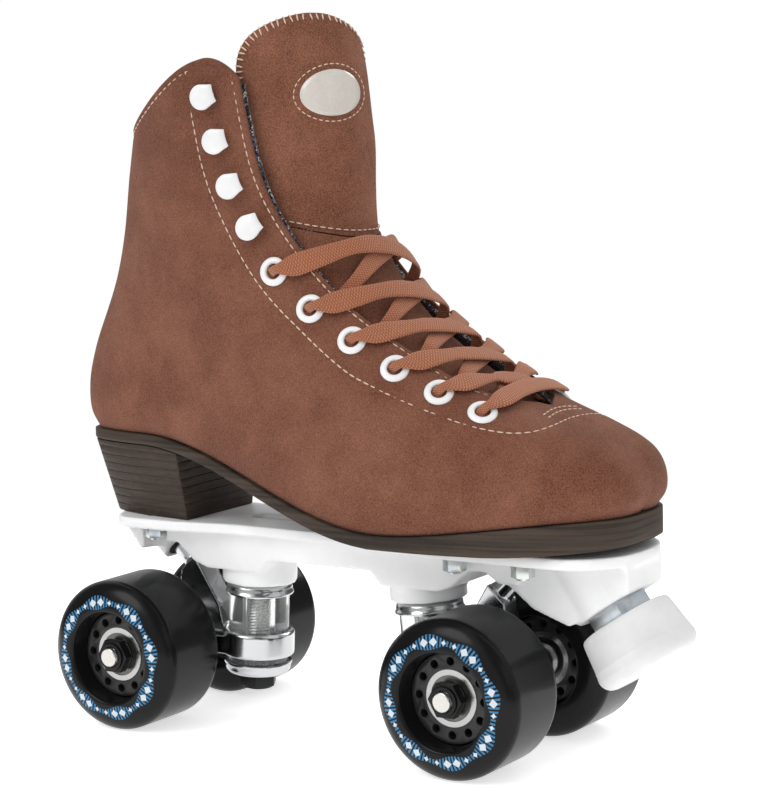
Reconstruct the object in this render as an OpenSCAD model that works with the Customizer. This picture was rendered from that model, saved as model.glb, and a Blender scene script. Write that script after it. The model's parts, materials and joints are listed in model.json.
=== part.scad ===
// Quad roller skate: laced high boot on a nylon plate with two cushioned trucks, wheels and a toe stop
// Frame: +X to the toe, +Y to the skater's left, +Z up, origin on the floor below the middle of the skate

/* [Wheels] */
// Outer diameter of a wheel
wheel_d = 62; // [57:0.5:65]
// Width of a tyre over its lips
tyre_w = 39; // [34:0.5:42]
// Radial depth of the tyre's round shoulder
shoulder_drop = 11; // [8:0.5:12]
// Axial run of the tyre's round shoulder
shoulder_run = 7; // [4:0.5:9]
// Outer diameter of the hub
hub_d = 35; // [34:0.5:37]
// Width of the hub along the axle
hub_w = 23; // [20:0.5:25]
// Number of lightening holes in the hub
hub_hole_count = 12; // [8:1:14]
// Diameter of a lightening hole
hub_hole_d = 3.2; // [2:0.2:3.6]

/* [Bearings] */
// Outer diameter of a bearing
bearing_od = 22; // [21:0.5:23]
// Width of a bearing
bearing_w = 7; // [6:0.5:8]
// Diameter of a bearing ball
ball_d = 4; // [3.6:0.1:4.2]
// Number of balls in a bearing
ball_count = 7; // [6:1:8]
// Thickness of a bearing shield
shield_t = 0.4; // [0.3:0.1:0.6]

/* [Trucks] */
// Distance between the axles
wheelbase = 160; // [156:1:170]
// Distance between the middles of two wheels on one axle
track = 70; // [69:0.5:76]
// Diameter of an axle
axle_d = 8; // [7:0.5:8]
// Thickness of an axle washer
washer_t = 1; // [0.6:0.1:1.4]
// Width across the flats of an axle nut
axle_nut_af = 13; // [12:0.5:14]
// Height of an axle nut
axle_nut_h = 5; // [4.5:0.5:7]
// Length of axle that stands proud of its nut
axle_proud = 1.5; // [0.5:0.5:3]
// Distance from an axle in to its kingpin
kingpin_reach = 36.5; // [35:0.5:38]
// Lean of a kingpin, its foot towards the axle
kingpin_lean = 4; // [0:0.5:6]
// Diameter of a kingpin
kingpin_d = 9.5; // [8:0.5:10]
// Width across the flats of a kingpin nut
kingpin_nut_af = 14.3; // [13:0.1:16]
// Height of a kingpin nut
kingpin_nut_h = 6.5; // [5:0.5:7]
// Outer diameter of a hanger's ring
ring_d = 30; // [29.5:0.5:32]
// Height of a hanger's ring
ring_h = 11; // [10:0.5:12]
// Depth of the cushion seats in a ring
ring_seat = 3; // [2:0.5:3.5]
// Diameter of a cushion
cushion_d = 25; // [23:0.5:25.5]
// Height of an upper cushion
upper_cushion_h = 22.5; // [21:0.5:24]
// Height of a lower cushion
lower_cushion_h = 9.5; // [9:0.5:11]
// Height of a cup washer's rim
cup_h = 4; // [3:0.5:5]
// Wall of a cup washer
cup_wall = 1; // [0.8:0.1:1.2]
// Height of a pivot above its axle
pivot_rise = 40; // [39:0.5:42]
// Distance of a pivot outside its axle
pivot_ahead = 4; // [2:0.5:5]
// Diameter of a pivot pin
pivot_d = 9; // [8:0.5:9.5]
// Wall of a pivot cup
pivot_cup_wall = 2; // [1.5:0.5:2.5]
// Width of a hanger's arm
arm_w = 11; // [9:0.5:12]
// Diameter of a hanger's axle tube
tube_d = 15; // [13:0.5:17]

/* [Plate] */
// Height of the plate's top above the floor
plate_z = 84; // [83:0.5:88]
// Thickness of the plate's top
plate_t = 4.5; // [4:0.5:6]
// Rear end of the plate
plate_rear_x = -104; // [-106:1:-102]
// Front end of the plate
plate_front_x = 140; // [139:1:143]
// Half width of the plate under the heel
plate_rear_half = 27; // [26.5:0.5:30]
// Half width of the plate at its middle
plate_mid_half = 22; // [20:0.5:24]
// Half width of the plate under the ball of the foot
plate_front_half = 31; // [29:0.5:33]
// Half width of the beam below the plate's top
beam_half = 17; // [14:0.5:17.5]
// Half width of the nose that carries the toe stop
nose_half = 14; // [12:0.5:14.5]
// Diameter of a kingpin boss
boss_d = 31; // [28:0.5:32]
// Wall of the plate round a pivot cup
pivot_wall = 2.5; // [2:0.5:3]
// Diameter of a mounting bolt
bolt_d = 5; // [4:0.5:5.5]
// Width across the flats of a mounting nut
bolt_nut_af = 8; // [7:0.5:9]
// Height of a mounting nut
bolt_nut_h = 5; // [4:0.5:6]
// Distance of the rear bolts behind the middle of the wheelbase
rear_bolt_x = 83; // [80:1:85]
// Distance of the rear bolts from the middle line
rear_bolt_y = 16; // [15:0.5:16.5]
// Distance of the first front bolts ahead of the middle of the wheelbase
mid_bolt_x = 69; // [66:1:72]
// Distance of the foremost bolts ahead of the middle of the wheelbase
front_bolt_x = 99; // [96:1:102]
// Distance of the front bolts from the middle line
front_bolt_y = 24; // [23:0.5:25]

/* [Toe stop] */
// Distance of the toe stop boss ahead of the middle of the wheelbase
stop_x = 125.4; // [124:0.2:127]
// Height of the toe stop boss's face
stop_z = 61.7; // [61:0.1:64]
// Lean of the toe stop from upright
stop_lean = 34.5; // [30:0.5:38]
// Diameter of the toe stop boss
stop_boss_d = 32; // [28:0.5:33]
// Diameter of the toe stop stem
stem_d = 15.9; // [14:0.1:16]
// Length of stem above the boss's face
stem_up = 19; // [17:0.5:20]
// Width across the flats of the lock nut
stop_nut_af = 24; // [22:0.5:25]
// Height of the lock nut
stop_nut_h = 5.5; // [5:0.5:7]
// Diameter of the pad at its foot
pad_d = 41.5; // [38:0.5:44]
// Diameter of the pad at its top
pad_top_d = 37.5; // [35:0.5:38]
// Height of the pad
pad_h = 21.5; // [18:0.5:24]
// Edge radius of the pad's foot
pad_edge = 5; // [3:0.5:6]

/* [Boot] */
// Rearmost line of the boot
boot_rear_x = -120; // [-122:0.5:-118]
// Length of the boot's upper
boot_len = 259.5; // [256:0.5:264]
// Width of the upper round the heel
heel_w = 67; // [65:0.5:70]
// Width of the upper at the ball of the foot
ball_w = 94; // [91:0.5:98]
// Height of the heel seat above the floor
heel_seat_z = 119.5; // [117:0.5:121]
// Height of the sole's top at the ball above the plate
ball_seat = 5.5; // [5:0.5:7]
// Rise of the toe above the ball
toe_spring = 9; // [7:0.5:11]
// Thickness of the suede
suede_t = 2; // [1.6:0.1:2.2]
// Thickness of the lining
lining_t = 1.4; // [1:0.1:1.6]
// Gap between the layers of the boot
layer_gap = 0.35; // [0.3:0.05:0.5]
// Half width of the throat at the collar
throat_half = 33.3; // [32:0.1:34]
// How much narrower the throat is at its foot
throat_taper = 13.5; // [11:0.5:15]
// Thickness of the tongue
tongue_t = 3; // [2:0.5:4]
// Thickness of the padded tongue top
tongue_top_t = 5; // [4:0.5:6]
// Width of the tongue's badge
badge_w = 26; // [22:0.5:30]
// Height of the tongue's badge
badge_h = 18.5; // [16:0.5:21]

/* [Sole] */
// Width that the sole stands out round the upper
welt = 2; // [1:0.25:3]
// Thickness of the sole at the heel and waist
waist_t = 4.5; // [4:0.25:5.5]
// Rise of the sole's underside at the toe
toe_lift = 5; // [4:0.5:6]
// Thickness of the insole
insole_t = 2.5; // [2:0.25:3]
// Front face of the heel
heel_front_x = -61; // [-64:0.5:-58]
// How much the heel draws in at the back, top to bottom
heel_back_draw = 9; // [6:0.5:11]
// How much the heel draws in at each side, top to bottom
heel_side_draw = 6; // [3:0.5:7]

/* [Lacing] */
// Number of eyelets on a side
eyelet_count = 6; // [4:1:6]
// Outer diameter of an eyelet
eyelet_d = 11.5; // [10:0.5:12]
// Bore of an eyelet
eyelet_bore = 6; // [5.8:0.1:6.4]
// Height of an eyelet's flange
eyelet_h = 1.3; // [1:0.1:1.4]
// Number of hooks on a side
hook_count = 4; // [3:1:4]
// Diameter of a hook's cap
hook_d = 10; // [9:0.5:11]
// Height of a hook
hook_h = 4.6; // [4:0.1:5]
// Width of the lace
lace_w = 9; // [7:0.5:9.5]
// Thickness of the lace
lace_t = 1.5; // [1.2:0.1:1.6]

/* [Hidden] */
$fn = 48;

// Clearances
slip = 0.03;
press = 0.02;
touch = 0.02;
seat = 0.1;
cut = 1;

// Wheel and bearing
wheel_r = wheel_d / 2;
axle_x = wheelbase / 2;
lip_r = wheel_r - shoulder_drop;
lip_round = 1;
arc_steps = 8;
bearing_y = (hub_w - bearing_w) / 2;
spacer_len = hub_w - 2 * bearing_w;
ball_ring_r = (bearing_od / 2 + axle_d / 2) / 2;
race_gap = 0.06;
race_r = ball_d / 2 + race_gap;
race_half = 1.4;
inner_ring_r = ball_ring_r - race_half;
outer_ring_r = ball_ring_r + race_half;
hub_shoulder_r = outer_ring_r;
hub_hole_ring_r = (hub_d / 2 + bearing_od / 2) / 2;
washer_r = axle_d / 2 + 2.2;
hub_face_y = track / 2 + hub_w / 2;
tube_half = track / 2 - hub_w / 2 - washer_t - touch;
axle_half = hub_face_y + washer_t + axle_nut_h + axle_proud + 2 * touch;

// Truck: ring centre, pivot and the steering axis through both
ring_x = axle_x - kingpin_reach;
pivot_x = axle_x + pivot_ahead;
pivot_z = wheel_r + pivot_rise;
steer_angle = atan2(pivot_rise, kingpin_reach + pivot_ahead);
steer_len = norm([pivot_rise, kingpin_reach + pivot_ahead]);
pivot_in = 5;
pivot_mouth = 3;
arm_stop = 9;
seat_h = ring_h / 2 - ring_seat;
upper_top = seat_h + upper_cushion_h + touch;
boss_h = upper_top + cup_wall + touch;
lower_foot = seat_h + lower_cushion_h + touch;
nut_h = lower_foot + cup_wall + touch;
cup_r = cushion_d / 2 + seat + cup_wall;
ring_bore_d = kingpin_d + 4.5;
kingpin_up = 44;

// Plate
flange_z = plate_z - plate_t;
beam_z = plate_z - 15;
flange_steps = 24;
nose_run = 25;
tail_run = 14;
bolts = [
  [-rear_bolt_x, -rear_bolt_y], [-rear_bolt_x, rear_bolt_y],
  [mid_bolt_x, -front_bolt_y], [mid_bolt_x, front_bolt_y],
  [front_bolt_x, -front_bolt_y], [front_bolt_x, front_bolt_y]
];
bolt_slip = 0.2;
bolt_head_r = bolt_d * 0.8;
bolt_head_h = 2.5;
head_rise = 1.2;
nut_pocket_r = bolt_nut_af / 2 / cos(30) + 1.4;

// Toe stop
stop_gap = 0.1;
pad_z = stop_nut_h + stop_gap;
pad_reach_x = stop_x + sin(stop_lean) * (pad_z + pad_h - pad_edge)
  + cos(stop_lean) * (pad_d / 2 - pad_edge) + pad_edge;

// Boot form: stations from the feather line up to the collar, each with the inset and rise of the back,
// the inset and rise of the front, the change of half width at heel and ball, and the roundness of both ends
stations = [
  [4, 0, 2.5, 0, -4.5, -2, 0.50, 0.60],
  [0, 8, 0, 7.5, -1.5, 0, 0.55, 0.62],
  [0, 20, 4.5, 19, 0, -0.5, 0.60, 0.66],
  [4, 33.5, 18.5, 29, 0.5, -2.5, 0.66, 0.70],
  [10, 48.5, 40.5, 38.5, 1, -5, 0.72, 0.74],
  [16.5, 65.5, 67, 53.5, 1.5, -7.5, 0.78, 0.78],
  [22, 84.5, 96.5, 76.5, 2, -10, 0.84, 0.82],
  [26.5, 106.5, 119.5, 113.5, 3, -11, 0.88, 0.86],
  [32, 129.5, 128.5, 163.5, 4, -10.5, 0.90, 0.90]
];
station_last = len(stations) - 1;
toe_x = boot_rear_x + boot_len;
ball_seat_z = plate_z + ball_seat;
toe_seat_z = ball_seat_z + toe_spring;
sag_rows = 4;
step = 0.004;

function ease(a) = let (b = min(max(a, 0), 1)) b * b * (3 - 2 * b);
function mix(a, b, s) = a + (b - a) * s;
function unit(a) = a / norm(a);
function round_end(s) = sqrt(max(0, 1 - pow(1 - s, 2)));

function station(v) =
  let (
    s = v * station_last,
    i = min(max(floor(s), 0), station_last - 1),
    f = s - i,
    b = stations[i],
    c = stations[i + 1],
    a = i > 0 ? stations[i - 1] : 2 * b - c,
    d = i < station_last - 1 ? stations[i + 2] : 2 * c - b
  )
  (2 * b + (c - a) * f + (2 * a - 5 * b + 4 * c - d) * f * f + (3 * b - a - 3 * c + d) * f * f * f) / 2;

// Height of the feather line at a share of the length
function foot_z(t) = heel_seat_z + (ball_seat_z - heel_seat_z) * ease((t - 0.14) / 0.5)
  + toe_spring * ease((t - 0.62) / 0.4);
function along(u) = (1 - cos(180 * u)) / 2;
function girth_half(s, t, u) = mix(heel_w / 2 + s[4], ball_w / 2 + s[5], ease((t - 0.15) / 0.6))
  * pow(max(sin(180 * u), 0), mix(s[6], s[7], t));
function wrap(g) = g > 1 ? g - 2 : g < -1 ? g + 2 : g;

// Outer face of the boot: g runs from the middle of the back (-1) along the right side to the middle of the
// front (0) and along the left side to the back again (1), v from the feather line (0) to the collar (1)
function skin(g, v) =
  let (
    q = wrap(g),
    u = 1 - abs(q),
    t = along(u),
    s = station(v),
    sag = foot_z(t) - mix(heel_seat_z, toe_seat_z, t),
    low = pow(max(0, 1 - v * station_last / sag_rows), 1.5)
  )
  [
    mix(boot_rear_x + s[0], toe_x - s[2], t),
    sign(q) * girth_half(s, t, u),
    mix(heel_seat_z + s[1], toe_seat_z + s[3], t) + sag * low
  ];
function outward(g, v) =
  unit(cross(skin(g + step, v) - skin(g - step, v), skin(g, v + step) - skin(g, v - step)));
function shell(g, v, off) = skin(g, v) + off * outward(g, v);

// Collar and throat edges of the upper
throat_v = 0.506;
throat_round = 0.14;
collar_back = 0.972;
collar_rise = 0.08;
collar_corner = 0.035;
function collar(g) = let (u = 1 - abs(g)) collar_back + collar_rise * ease((u - 0.1) / 0.42)
  - collar_corner * pow(min(max((u - 0.54) / 0.1, 0), 1), 2);
function height(g, w) = w + (collar(g) - 1) * ease((w - 0.55) / 0.45);
function throat_y(s) = (throat_half - throat_taper * pow(1 - s, 1.4))
  * (s < throat_round ? round_end(s / throat_round) : 1);
function girth_at(y, v, lo = 0, hi = 0.5, n = 16) =
  let (m = (lo + hi) / 2)
  n == 0 ? m : skin(m, v)[1] < y ? girth_at(y, v, m, hi, n - 1) : girth_at(y, v, lo, m, n - 1);
function throat(w) = w <= throat_v ? 0 : girth_at(throat_y((w - throat_v) / (1 - throat_v)), w);

// Rows of the upper from the feather line to the foot of the throat, then up to the collar
vamp_rows = 11;
flap_rows = 13;
side_cols = 18;
function row(j) = j <= vamp_rows ? throat_v * j / vamp_rows
  : throat_v + (1 - throat_v) * pow((j - vamp_rows) / flap_rows, 1.5);
rows = [for (j = [0:vamp_rows + flap_rows]) row(j)];
rear_reach_x = min([for (w = rows) skin(1, height(1, w))[0]]);
mid_x = (pad_reach_x + rear_reach_x) / 2;

// Depths of the layers under the outer face
lining_top = -suede_t - layer_gap;
lining_low = lining_top - lining_t;
under_lace = lining_low - 0.55 - lace_t / 2;
tongue_depth = under_lace - lace_t / 2 - 0.8;

// Tongue: sewn under the vamp, low under the lace, full above it
tongue_v = 0.39;
tongue_seam_v = 0.835;
tongue_end_v = 1.06;
tongue_sew_v = 0.07;
tongue_full = 10.1;
tongue_flare = 2;
seam_gap_v = 0.001;
function tongue_half(v) = (0.27 + 0.14 * ease((v - tongue_v) / 0.45))
  * (v < 0.985 ? 1 : pow(max(0, 1 - pow((v - 0.985) / (tongue_end_v + 0.0005 - 0.985), 2.4)), 1 / 2.4));
function tongue_front(v) = tongue_full * ease((v - 0.82) / 0.13) + tongue_flare * ease((v - 0.95) / 0.12);
function tongue_off(g, v) = tongue_depth + tongue_front(v) * (1 - ease(abs(g) / 0.36))
  + (lining_low - 0.3 - tongue_depth) * (1 - ease((v - tongue_v) / tongue_sew_v));

// Eyelets and hooks lie on straight rows of the boot form
eyelet_top = [0.378, 0.769];
eyelet_step = [-0.0366, -0.0608];
hook_top = [0.461, 1.0];
hook_step = [-0.023, -0.0553];
function eyelet_at(i) = eyelet_top + i * eyelet_step;
function hook_at(i) = hook_top + i * hook_step;

// Solid between two grids of points, the first on the outer side
function panel_faces(nu, nv) =
  let (n = (nu + 1) * (nv + 1), p = nv + 1)
  concat(
    [for (i = [0:nu - 1], j = [0:nv - 1]) let (a = i * p + j, b = a + p, c = b + 1, d = a + 1)
      each [[a, d, c], [a, c, b], [a + n, c + n, d + n], [a + n, b + n, c + n]]],
    [for (i = [0:nu - 1]) let (a = i * p, b = a + p) each [[a, b, b + n], [a, b + n, a + n]]],
    [for (i = [0:nu - 1]) let (d = i * p + nv, c = d + p) each [[c, d, d + n], [c, d + n, c + n]]],
    [for (j = [0:nv - 1]) let (a = j, d = j + 1) each [[d, a, a + n], [d, a + n, d + n]]],
    [for (j = [0:nv - 1]) let (b = nu * p + j, c = b + 1) each [[b, c, c + n], [b, c + n, b + n]]]
  );
module panel(outer, inner) {
  polyhedron(
    points = concat([for (r = outer) each r], [for (r = inner) each r]),
    faces = panel_faces(len(outer) - 1, len(outer[0]) - 1),
    convexity = 8
  );
}

// The whole skate is set over the origin
module on_floor() translate([-mid_x, 0, 0]) children();

// Stands children on the outer face of the boot
module on_skin(g, v) {
  p = skin(g, v);
  n = outward(g, v);
  translate(p) rotate([0, acos(n[2]), atan2(n[1], n[0])]) children();
}
module eyelet_holes() {
  for (i = [0:eyelet_count - 1])
    on_skin(-eyelet_at(i)[0], eyelet_at(i)[1])
      translate([0, 0, lining_low - cut]) cylinder(d = eyelet_bore + 1.6, h = -lining_low + 2 * cut);
}
module both_sides() {
  children();
  mirror([0, 1, 0]) children();
}

// Right half of the upper, with its eyelet holes
module upper_half() {
  function place(i, w, off) = let (g = mix(-1, -throat(w), i / side_cols)) shell(g, height(g, w), off);
  difference() {
    panel(
      [for (i = [0:side_cols]) [for (w = rows) place(i, w, 0)]],
      [for (i = [0:side_cols]) [for (w = rows) place(i, w, -suede_t)]]
    );
    eyelet_holes();
  }
}
module upper_right() color("sienna") on_floor() upper_half();
module upper_left() color("sienna") on_floor() mirror([0, 1, 0]) upper_half();

// Lining, glued inside the upper
lining_cols = 18;
lining_rows = 18;
lining_w = [0.07, 0.985];
module lining_half() {
  function place(i, j, off) =
    let (
      w = mix(lining_w[0], lining_w[1], j / lining_rows),
      g = mix(-0.998, -throat(w) - 0.004, i / lining_cols)
    )
    shell(g, height(g, w), off);
  difference() {
    panel(
      [for (i = [0:lining_cols]) [for (j = [0:lining_rows]) place(i, j, lining_top)]],
      [for (i = [0:lining_cols]) [for (j = [0:lining_rows]) place(i, j, lining_low)]]
    );
    eyelet_holes();
  }
}
module lining() color("dimgray") on_floor() both_sides() lining_half();

// Tongue pieces: the lower one under the lace, the padded top above the seam
function tongue_place(s, v, depth) = let (g = s * tongue_half(v)) shell(g, v, tongue_off(g, v) - depth);
module tongue_piece(low_v, high_v, cols, n_rows, t, curve) {
  function row_v(j) = mix(low_v, high_v, curve ? sin(90 * j / n_rows) : j / n_rows);
  panel(
    [for (i = [0:cols]) [for (j = [0:n_rows]) tongue_place(2 * i / cols - 1, row_v(j), 0)]],
    [for (i = [0:cols]) [for (j = [0:n_rows]) tongue_place(2 * i / cols - 1, row_v(j), t)]]
  );
}
module tongue() color("saddlebrown") on_floor()
  tongue_piece(tongue_v, tongue_seam_v - seam_gap_v, 10, 14, tongue_t, false);
module tongue_top() color("sienna") on_floor()
  tongue_piece(tongue_seam_v + seam_gap_v, tongue_end_v, 14, 16, tongue_top_t, true);

// Oval badge sewn on the tongue top
badge_v = 0.9865;
badge_g = -0.09;
badge_t = 0.9;
badge_cells = 8;
module tongue_badge() {
  function face(g, v) = shell(g, v, tongue_off(g, v));
  run_g = norm(face(badge_g + 0.05, badge_v) - face(badge_g - 0.05, badge_v)) / 0.1;
  run_v = norm(face(badge_g, badge_v + 0.02) - face(badge_g, badge_v - 0.02)) / 0.04;
  function oval(i, j, lift) =
    let (
      a = 2 * i / badge_cells - 1,
      b = 2 * j / badge_cells - 1,
      g = badge_g + a * sqrt(1 - b * b / 2) * badge_w / 2 / run_g,
      v = badge_v + b * sqrt(1 - a * a / 2) * badge_h / 2 / run_v
    )
    shell(g, v, tongue_off(g, v) + lift);
  color("linen") on_floor()
    panel(
      [for (i = [0:badge_cells]) [for (j = [0:badge_cells]) oval(i, j, layer_gap + badge_t)]],
      [for (i = [0:badge_cells]) [for (j = [0:badge_cells]) oval(i, j, layer_gap)]]
    );
}

// Sole pieces are slabs across the foot, laid out by shares of the length
sole_ends = 0.012;
sole_cols = 4;
sole_rows = 34;
function sole_u(j, n) = mix(sole_ends, 1 - sole_ends, j / n);
function sole_x(t, grow) = mix(boot_rear_x + stations[0][0] - grow, toe_x - stations[0][2] + grow, t);
function sole_half(u, grow) = girth_half(stations[0], along(u), u) + grow * pow(sin(180 * u), 0.5);
function sole_share(x) = (x - sole_x(0, welt)) / (sole_x(1, welt) - sole_x(0, welt));
function under_z(t) = t > 0.62 ? plate_z + toe_lift * ease((t - 0.8) / 0.3)
  : foot_z(t) - waist_t - (ball_seat - waist_t) * ease((t - 0.3) / 0.32);
function share_u(t) = acos(1 - 2 * t) / 180;
module bolt_holes(low, high) {
  for (b = bolts) translate([b[0], b[1], low]) cylinder(d = bolt_d + 2 * bolt_slip, h = high - low);
}
module sole_slab(us, grow, low_off, high_off, flat) {
  function place(i, u, z) = [sole_x(along(u), grow), (1 - 2 * i / sole_cols) * -sole_half(u, grow), z];
  panel(
    [for (i = [0:sole_cols]) [for (j = [len(us) - 1:-1:0]) place(i, us[j], foot_z(along(us[j])) + high_off)]],
    [for (i = [0:sole_cols]) [for (j = [len(us) - 1:-1:0])
      place(i, us[j], flat ? under_z(along(us[j])) : foot_z(along(us[j])) + low_off)]]
  );
}
module outsole() color("#4a3a30") on_floor() difference() {
  sole_slab([for (j = [0:sole_rows]) sole_u(j, sole_rows)], welt, 0, -layer_gap / 2, true);
  bolt_holes(plate_z - cut, heel_seat_z + cut);
}
insole_in = -suede_t - lining_t - 1.2;
module insole() color("tan") on_floor() difference() {
  sole_slab([for (j = [1:25]) sole_u(j, 26)], insole_in, layer_gap, insole_t, false);
  bolt_holes(plate_z, heel_seat_z + insole_t + cut);
}

// Stacked heel: its top follows the sole, its foot draws in to the plate
heel_cols = 4;
heel_rows = 10;
module heel() {
  front_u = share_u(sole_share(heel_front_x));
  foot_rear_x = sole_x(0, welt) + heel_back_draw;
  function top(i, j) =
    let (u = mix(sole_ends, front_u, j / heel_rows), t = along(u))
    [sole_x(t, welt), (1 - 2 * i / heel_cols) * -(sole_half(u, welt) - 0.3), under_z(t) - layer_gap];
  function foot(i, j) =
    let (p = top(i, j), s = (p[0] - sole_x(0, welt)) / (heel_front_x - sole_x(0, welt)))
    [
      mix(foot_rear_x, heel_front_x, s),
      p[1] * (sole_half(front_u, welt) - heel_side_draw) / sole_half(front_u, welt),
      plate_z + touch
    ];
  color("#4a3a30") on_floor() difference() {
    panel(
      [for (i = [0:heel_cols]) [for (j = [heel_rows:-1:0]) top(i, j)]],
      [for (i = [0:heel_cols]) [for (j = [heel_rows:-1:0]) foot(i, j)]]
    );
    bolt_holes(plate_z - cut, heel_seat_z);
  }
}

// White eyelets, rolled over the edge of their holes
eyelet_rise = 0.3;
module eyelet() {
  r = eyelet_bore / 2;
  rotate_extrude() polygon([
    [r, lining_low], [r + 0.6, lining_low], [r + 0.6, eyelet_rise], [eyelet_d / 2, eyelet_rise],
    [eyelet_d / 2 - 0.1, eyelet_h - 0.4], [eyelet_d / 2 - 0.7, eyelet_h], [r + 0.8, eyelet_h],
    [r, eyelet_h - 0.6]
  ]);
}
module eyelets() color("white") on_floor() both_sides()
  for (i = [0:eyelet_count - 1]) on_skin(-eyelet_at(i)[0], eyelet_at(i)[1]) eyelet();

// Speed hooks: a base riveted to the flap, a back wall and a cap over the lace's way
hook_wall = 1.1;
hook_base = 1;
module hook() {
  r = hook_d / 2;
  translate([0, 0, eyelet_rise]) cylinder(r = r - 0.8, h = hook_base);
  translate([0, 0, hook_h - 1.2]) cylinder(r = r, h = 0.8);
  translate([0, 0, hook_h - 0.4]) cylinder(r1 = r, r2 = r - 1.2, h = 0.4);
  intersection() {
    difference() {
      cylinder(r = r - 0.8, h = hook_h - 0.8);
      translate([0, 0, -cut]) cylinder(r = r - 0.8 - hook_wall, h = hook_h + cut);
    }
    translate([-r, -r, eyelet_rise + hook_base / 2]) cube([r, 2 * r, hook_h - hook_base]);
  }
}
module lace_hooks() color("white") on_floor() both_sides()
  for (i = [0:hook_count - 1]) on_skin(-hook_at(i)[0], hook_at(i)[1]) hook();

// Lace: one flat band, laced criss-cross from hole to hole, with its ends tucked behind the top eyelets
// A stop of its route is [g, v, height over the outer face, width, thickness]
lace_over = lace_t / 2 + 0.7;
lace_high = eyelet_h + lace_t / 2 + 0.75;
hole_w = eyelet_bore * 0.62;
hole_t = lace_t;
cross_over = 0.4;
cross_under = -2.0;
lace_bow = 0.09;
lace_band_v = 0.02;
last_eye = eyelet_count - 1;
// Turn through a hole: distance from its middle away from the throat, and height
hole_turn = [
  [-2.8, under_lace], [-0.7, under_lace + 0.45], [0.7, lining_low + 0.6], [1.2, -1.3], [0.7, 0.6],
  [-0.7, eyelet_h + 0.75], [-2.6, lace_high]
];
// Way towards the throat at an eyelet, square to the throat, and the length of one unit of girth on it
function throat_slope(i) = 1.55 * lace_bow / eyelet_at(i)[0];
function throat_run(i) =
  let (e = eyelet_at(i), d = [step, -step * throat_slope(i)], a = e + d, b = e - d)
  norm(skin(a[0], a[1]) - skin(b[0], b[1])) / (2 * step);
function hole_way(i, s) =
  let (e = eyelet_at(i), run = throat_run(i))
  [for (q = hole_turn) [s * (e[0] + q[0] / run), e[1] - throat_slope(i) * q[0] / run, q[1], hole_w, hole_t]];
// A leg runs from eyelet i over its flap, crosses the throat and comes to eyelet i + 1 under the other flap
// A stop of a leg is [share of its way, height over the outer face, share of the lace's width]
function leg_g(i, s, f) = s * mix(eyelet_at(i)[0], -eyelet_at(i + 1)[0], f);
function leg_v(i, f) = mix(eyelet_at(i)[1], eyelet_at(i + 1)[1], f) + lace_bow * sin(180 * f);
function on_flap(i, f) = abs(leg_g(i, 1, f)) >= throat(leg_v(i, f) - lace_band_v);
function lace_leg(i, s) =
  let (
    mid_f = eyelet_at(i)[0] / (eyelet_at(i)[0] + eyelet_at(i + 1)[0]),
    off_f = max([for (f = [0.1:0.02:mid_f]) if (on_flap(i, f)) f]),
    on_f = min([for (f = [0.96:-0.02:mid_f]) if (on_flap(i, f)) f]),
    near_f = 0.62 * (on_f - mid_f),
    mm_f = 1 / (throat_run(i) * (eyelet_at(i)[0] + eyelet_at(i + 1)[0])),
    mid = s < 0 ? cross_over : cross_under,
    thin = i == last_eye - 1 ? 0.68 : 1,
    stops = [
      [5 * mm_f, lace_high, 0.65],
      [9.5 * mm_f, lace_over + 0.5, 1],
      [max(off_f, 11 * mm_f) + 2.5 * mm_f, lace_over, 0.95],
      [mid_f - near_f, mix(lace_over, mid, 0.9), 0.75 * thin],
      [mid_f - near_f / 2, mid, 0.85],
      [mid_f, mid, 0.9],
      [mid_f + near_f / 2, mid, 0.8],
      [mid_f + near_f, mid - 0.1, 0.65 * thin],
      [on_f - 0.02, under_lace + 0.2, 0.65 * thin],
      [mix(on_f, 1 - 5 * mm_f, 0.5), under_lace, 0.7],
      [1 - 5 * mm_f, under_lace, 0.55]
    ]
  )
  [for (q = stops) [leg_g(i, s, q[0]), leg_v(i, q[0]), q[1], lace_w * q[2], lace_t]];
bar_rise = 0.9;
function lace_bar(i, s) =
  let (e = eyelet_at(i), mm_f = 1 / (throat_run(i) * 2 * e[0]), ends = [5 * mm_f, 9.5 * mm_f])
  [for (f = [ends[0], ends[1], 0.35, 0.5, 0.65, 1 - ends[1], 1 - ends[0]])
    let (m = min(f, 1 - f))
    [s * e[0] * (1 - 2 * f), e[1] + lace_bow * 0.9 * sin(180 * f), m > 0.3 ? lace_over + bar_rise : lace_high,
      lace_w * (m < ends[0] + 0.01 ? 0.65 : 0.95), lace_t]];
function lace_end(s) =
  let (e = eyelet_at(0))
  [for (q = [16, 10, 5, 2.6])
    [s * (e[0] + q / throat_run(0)), e[1] - throat_slope(0) * q / throat_run(0), under_lace,
      q < 6 ? hole_w : lace_w * 0.8, lace_t]];
function turned(list) = [for (i = [len(list) - 1:-1:0]) list[i]];
function side_of(i, s) = i % 2 == 0 ? s : -s;
function way_down(s) = [for (i = [0:last_eye]) each concat(
  [for (k = [i == 0 ? 2 : 0:len(hole_turn) - 1]) hole_way(i, side_of(i, s))[k]],
  i < last_eye ? lace_leg(i, side_of(i, s)) : []
)];
lace_route = concat(
  lace_end(1), way_down(1), lace_bar(last_eye, side_of(last_eye, 1)), turned(way_down(-1)),
  turned(lace_end(-1))
);
function lace_ring(k) =
  let (
    n = len(lace_points) - 1,
    q = lace_route[k],
    way = unit(lace_points[min(k + 1, n)] - lace_points[max(k - 1, 0)]),
    out_dir = outward(q[0], q[1]),
    up = unit([-out_dir[2], 0, out_dir[0]]),
    side = unit(up - (up * way) * way),
    face = cross(way, side),
    w = q[3] / 2,
    t = q[4] / 2,
    rim = [[w, t / 2], [w * 0.8, t], [-w * 0.8, t], [-w, t / 2]],
    out = concat(rim, [for (r = rim) -r])
  )
  [for (o = out) lace_points[k] + o[0] * side + o[1] * face];
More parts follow.
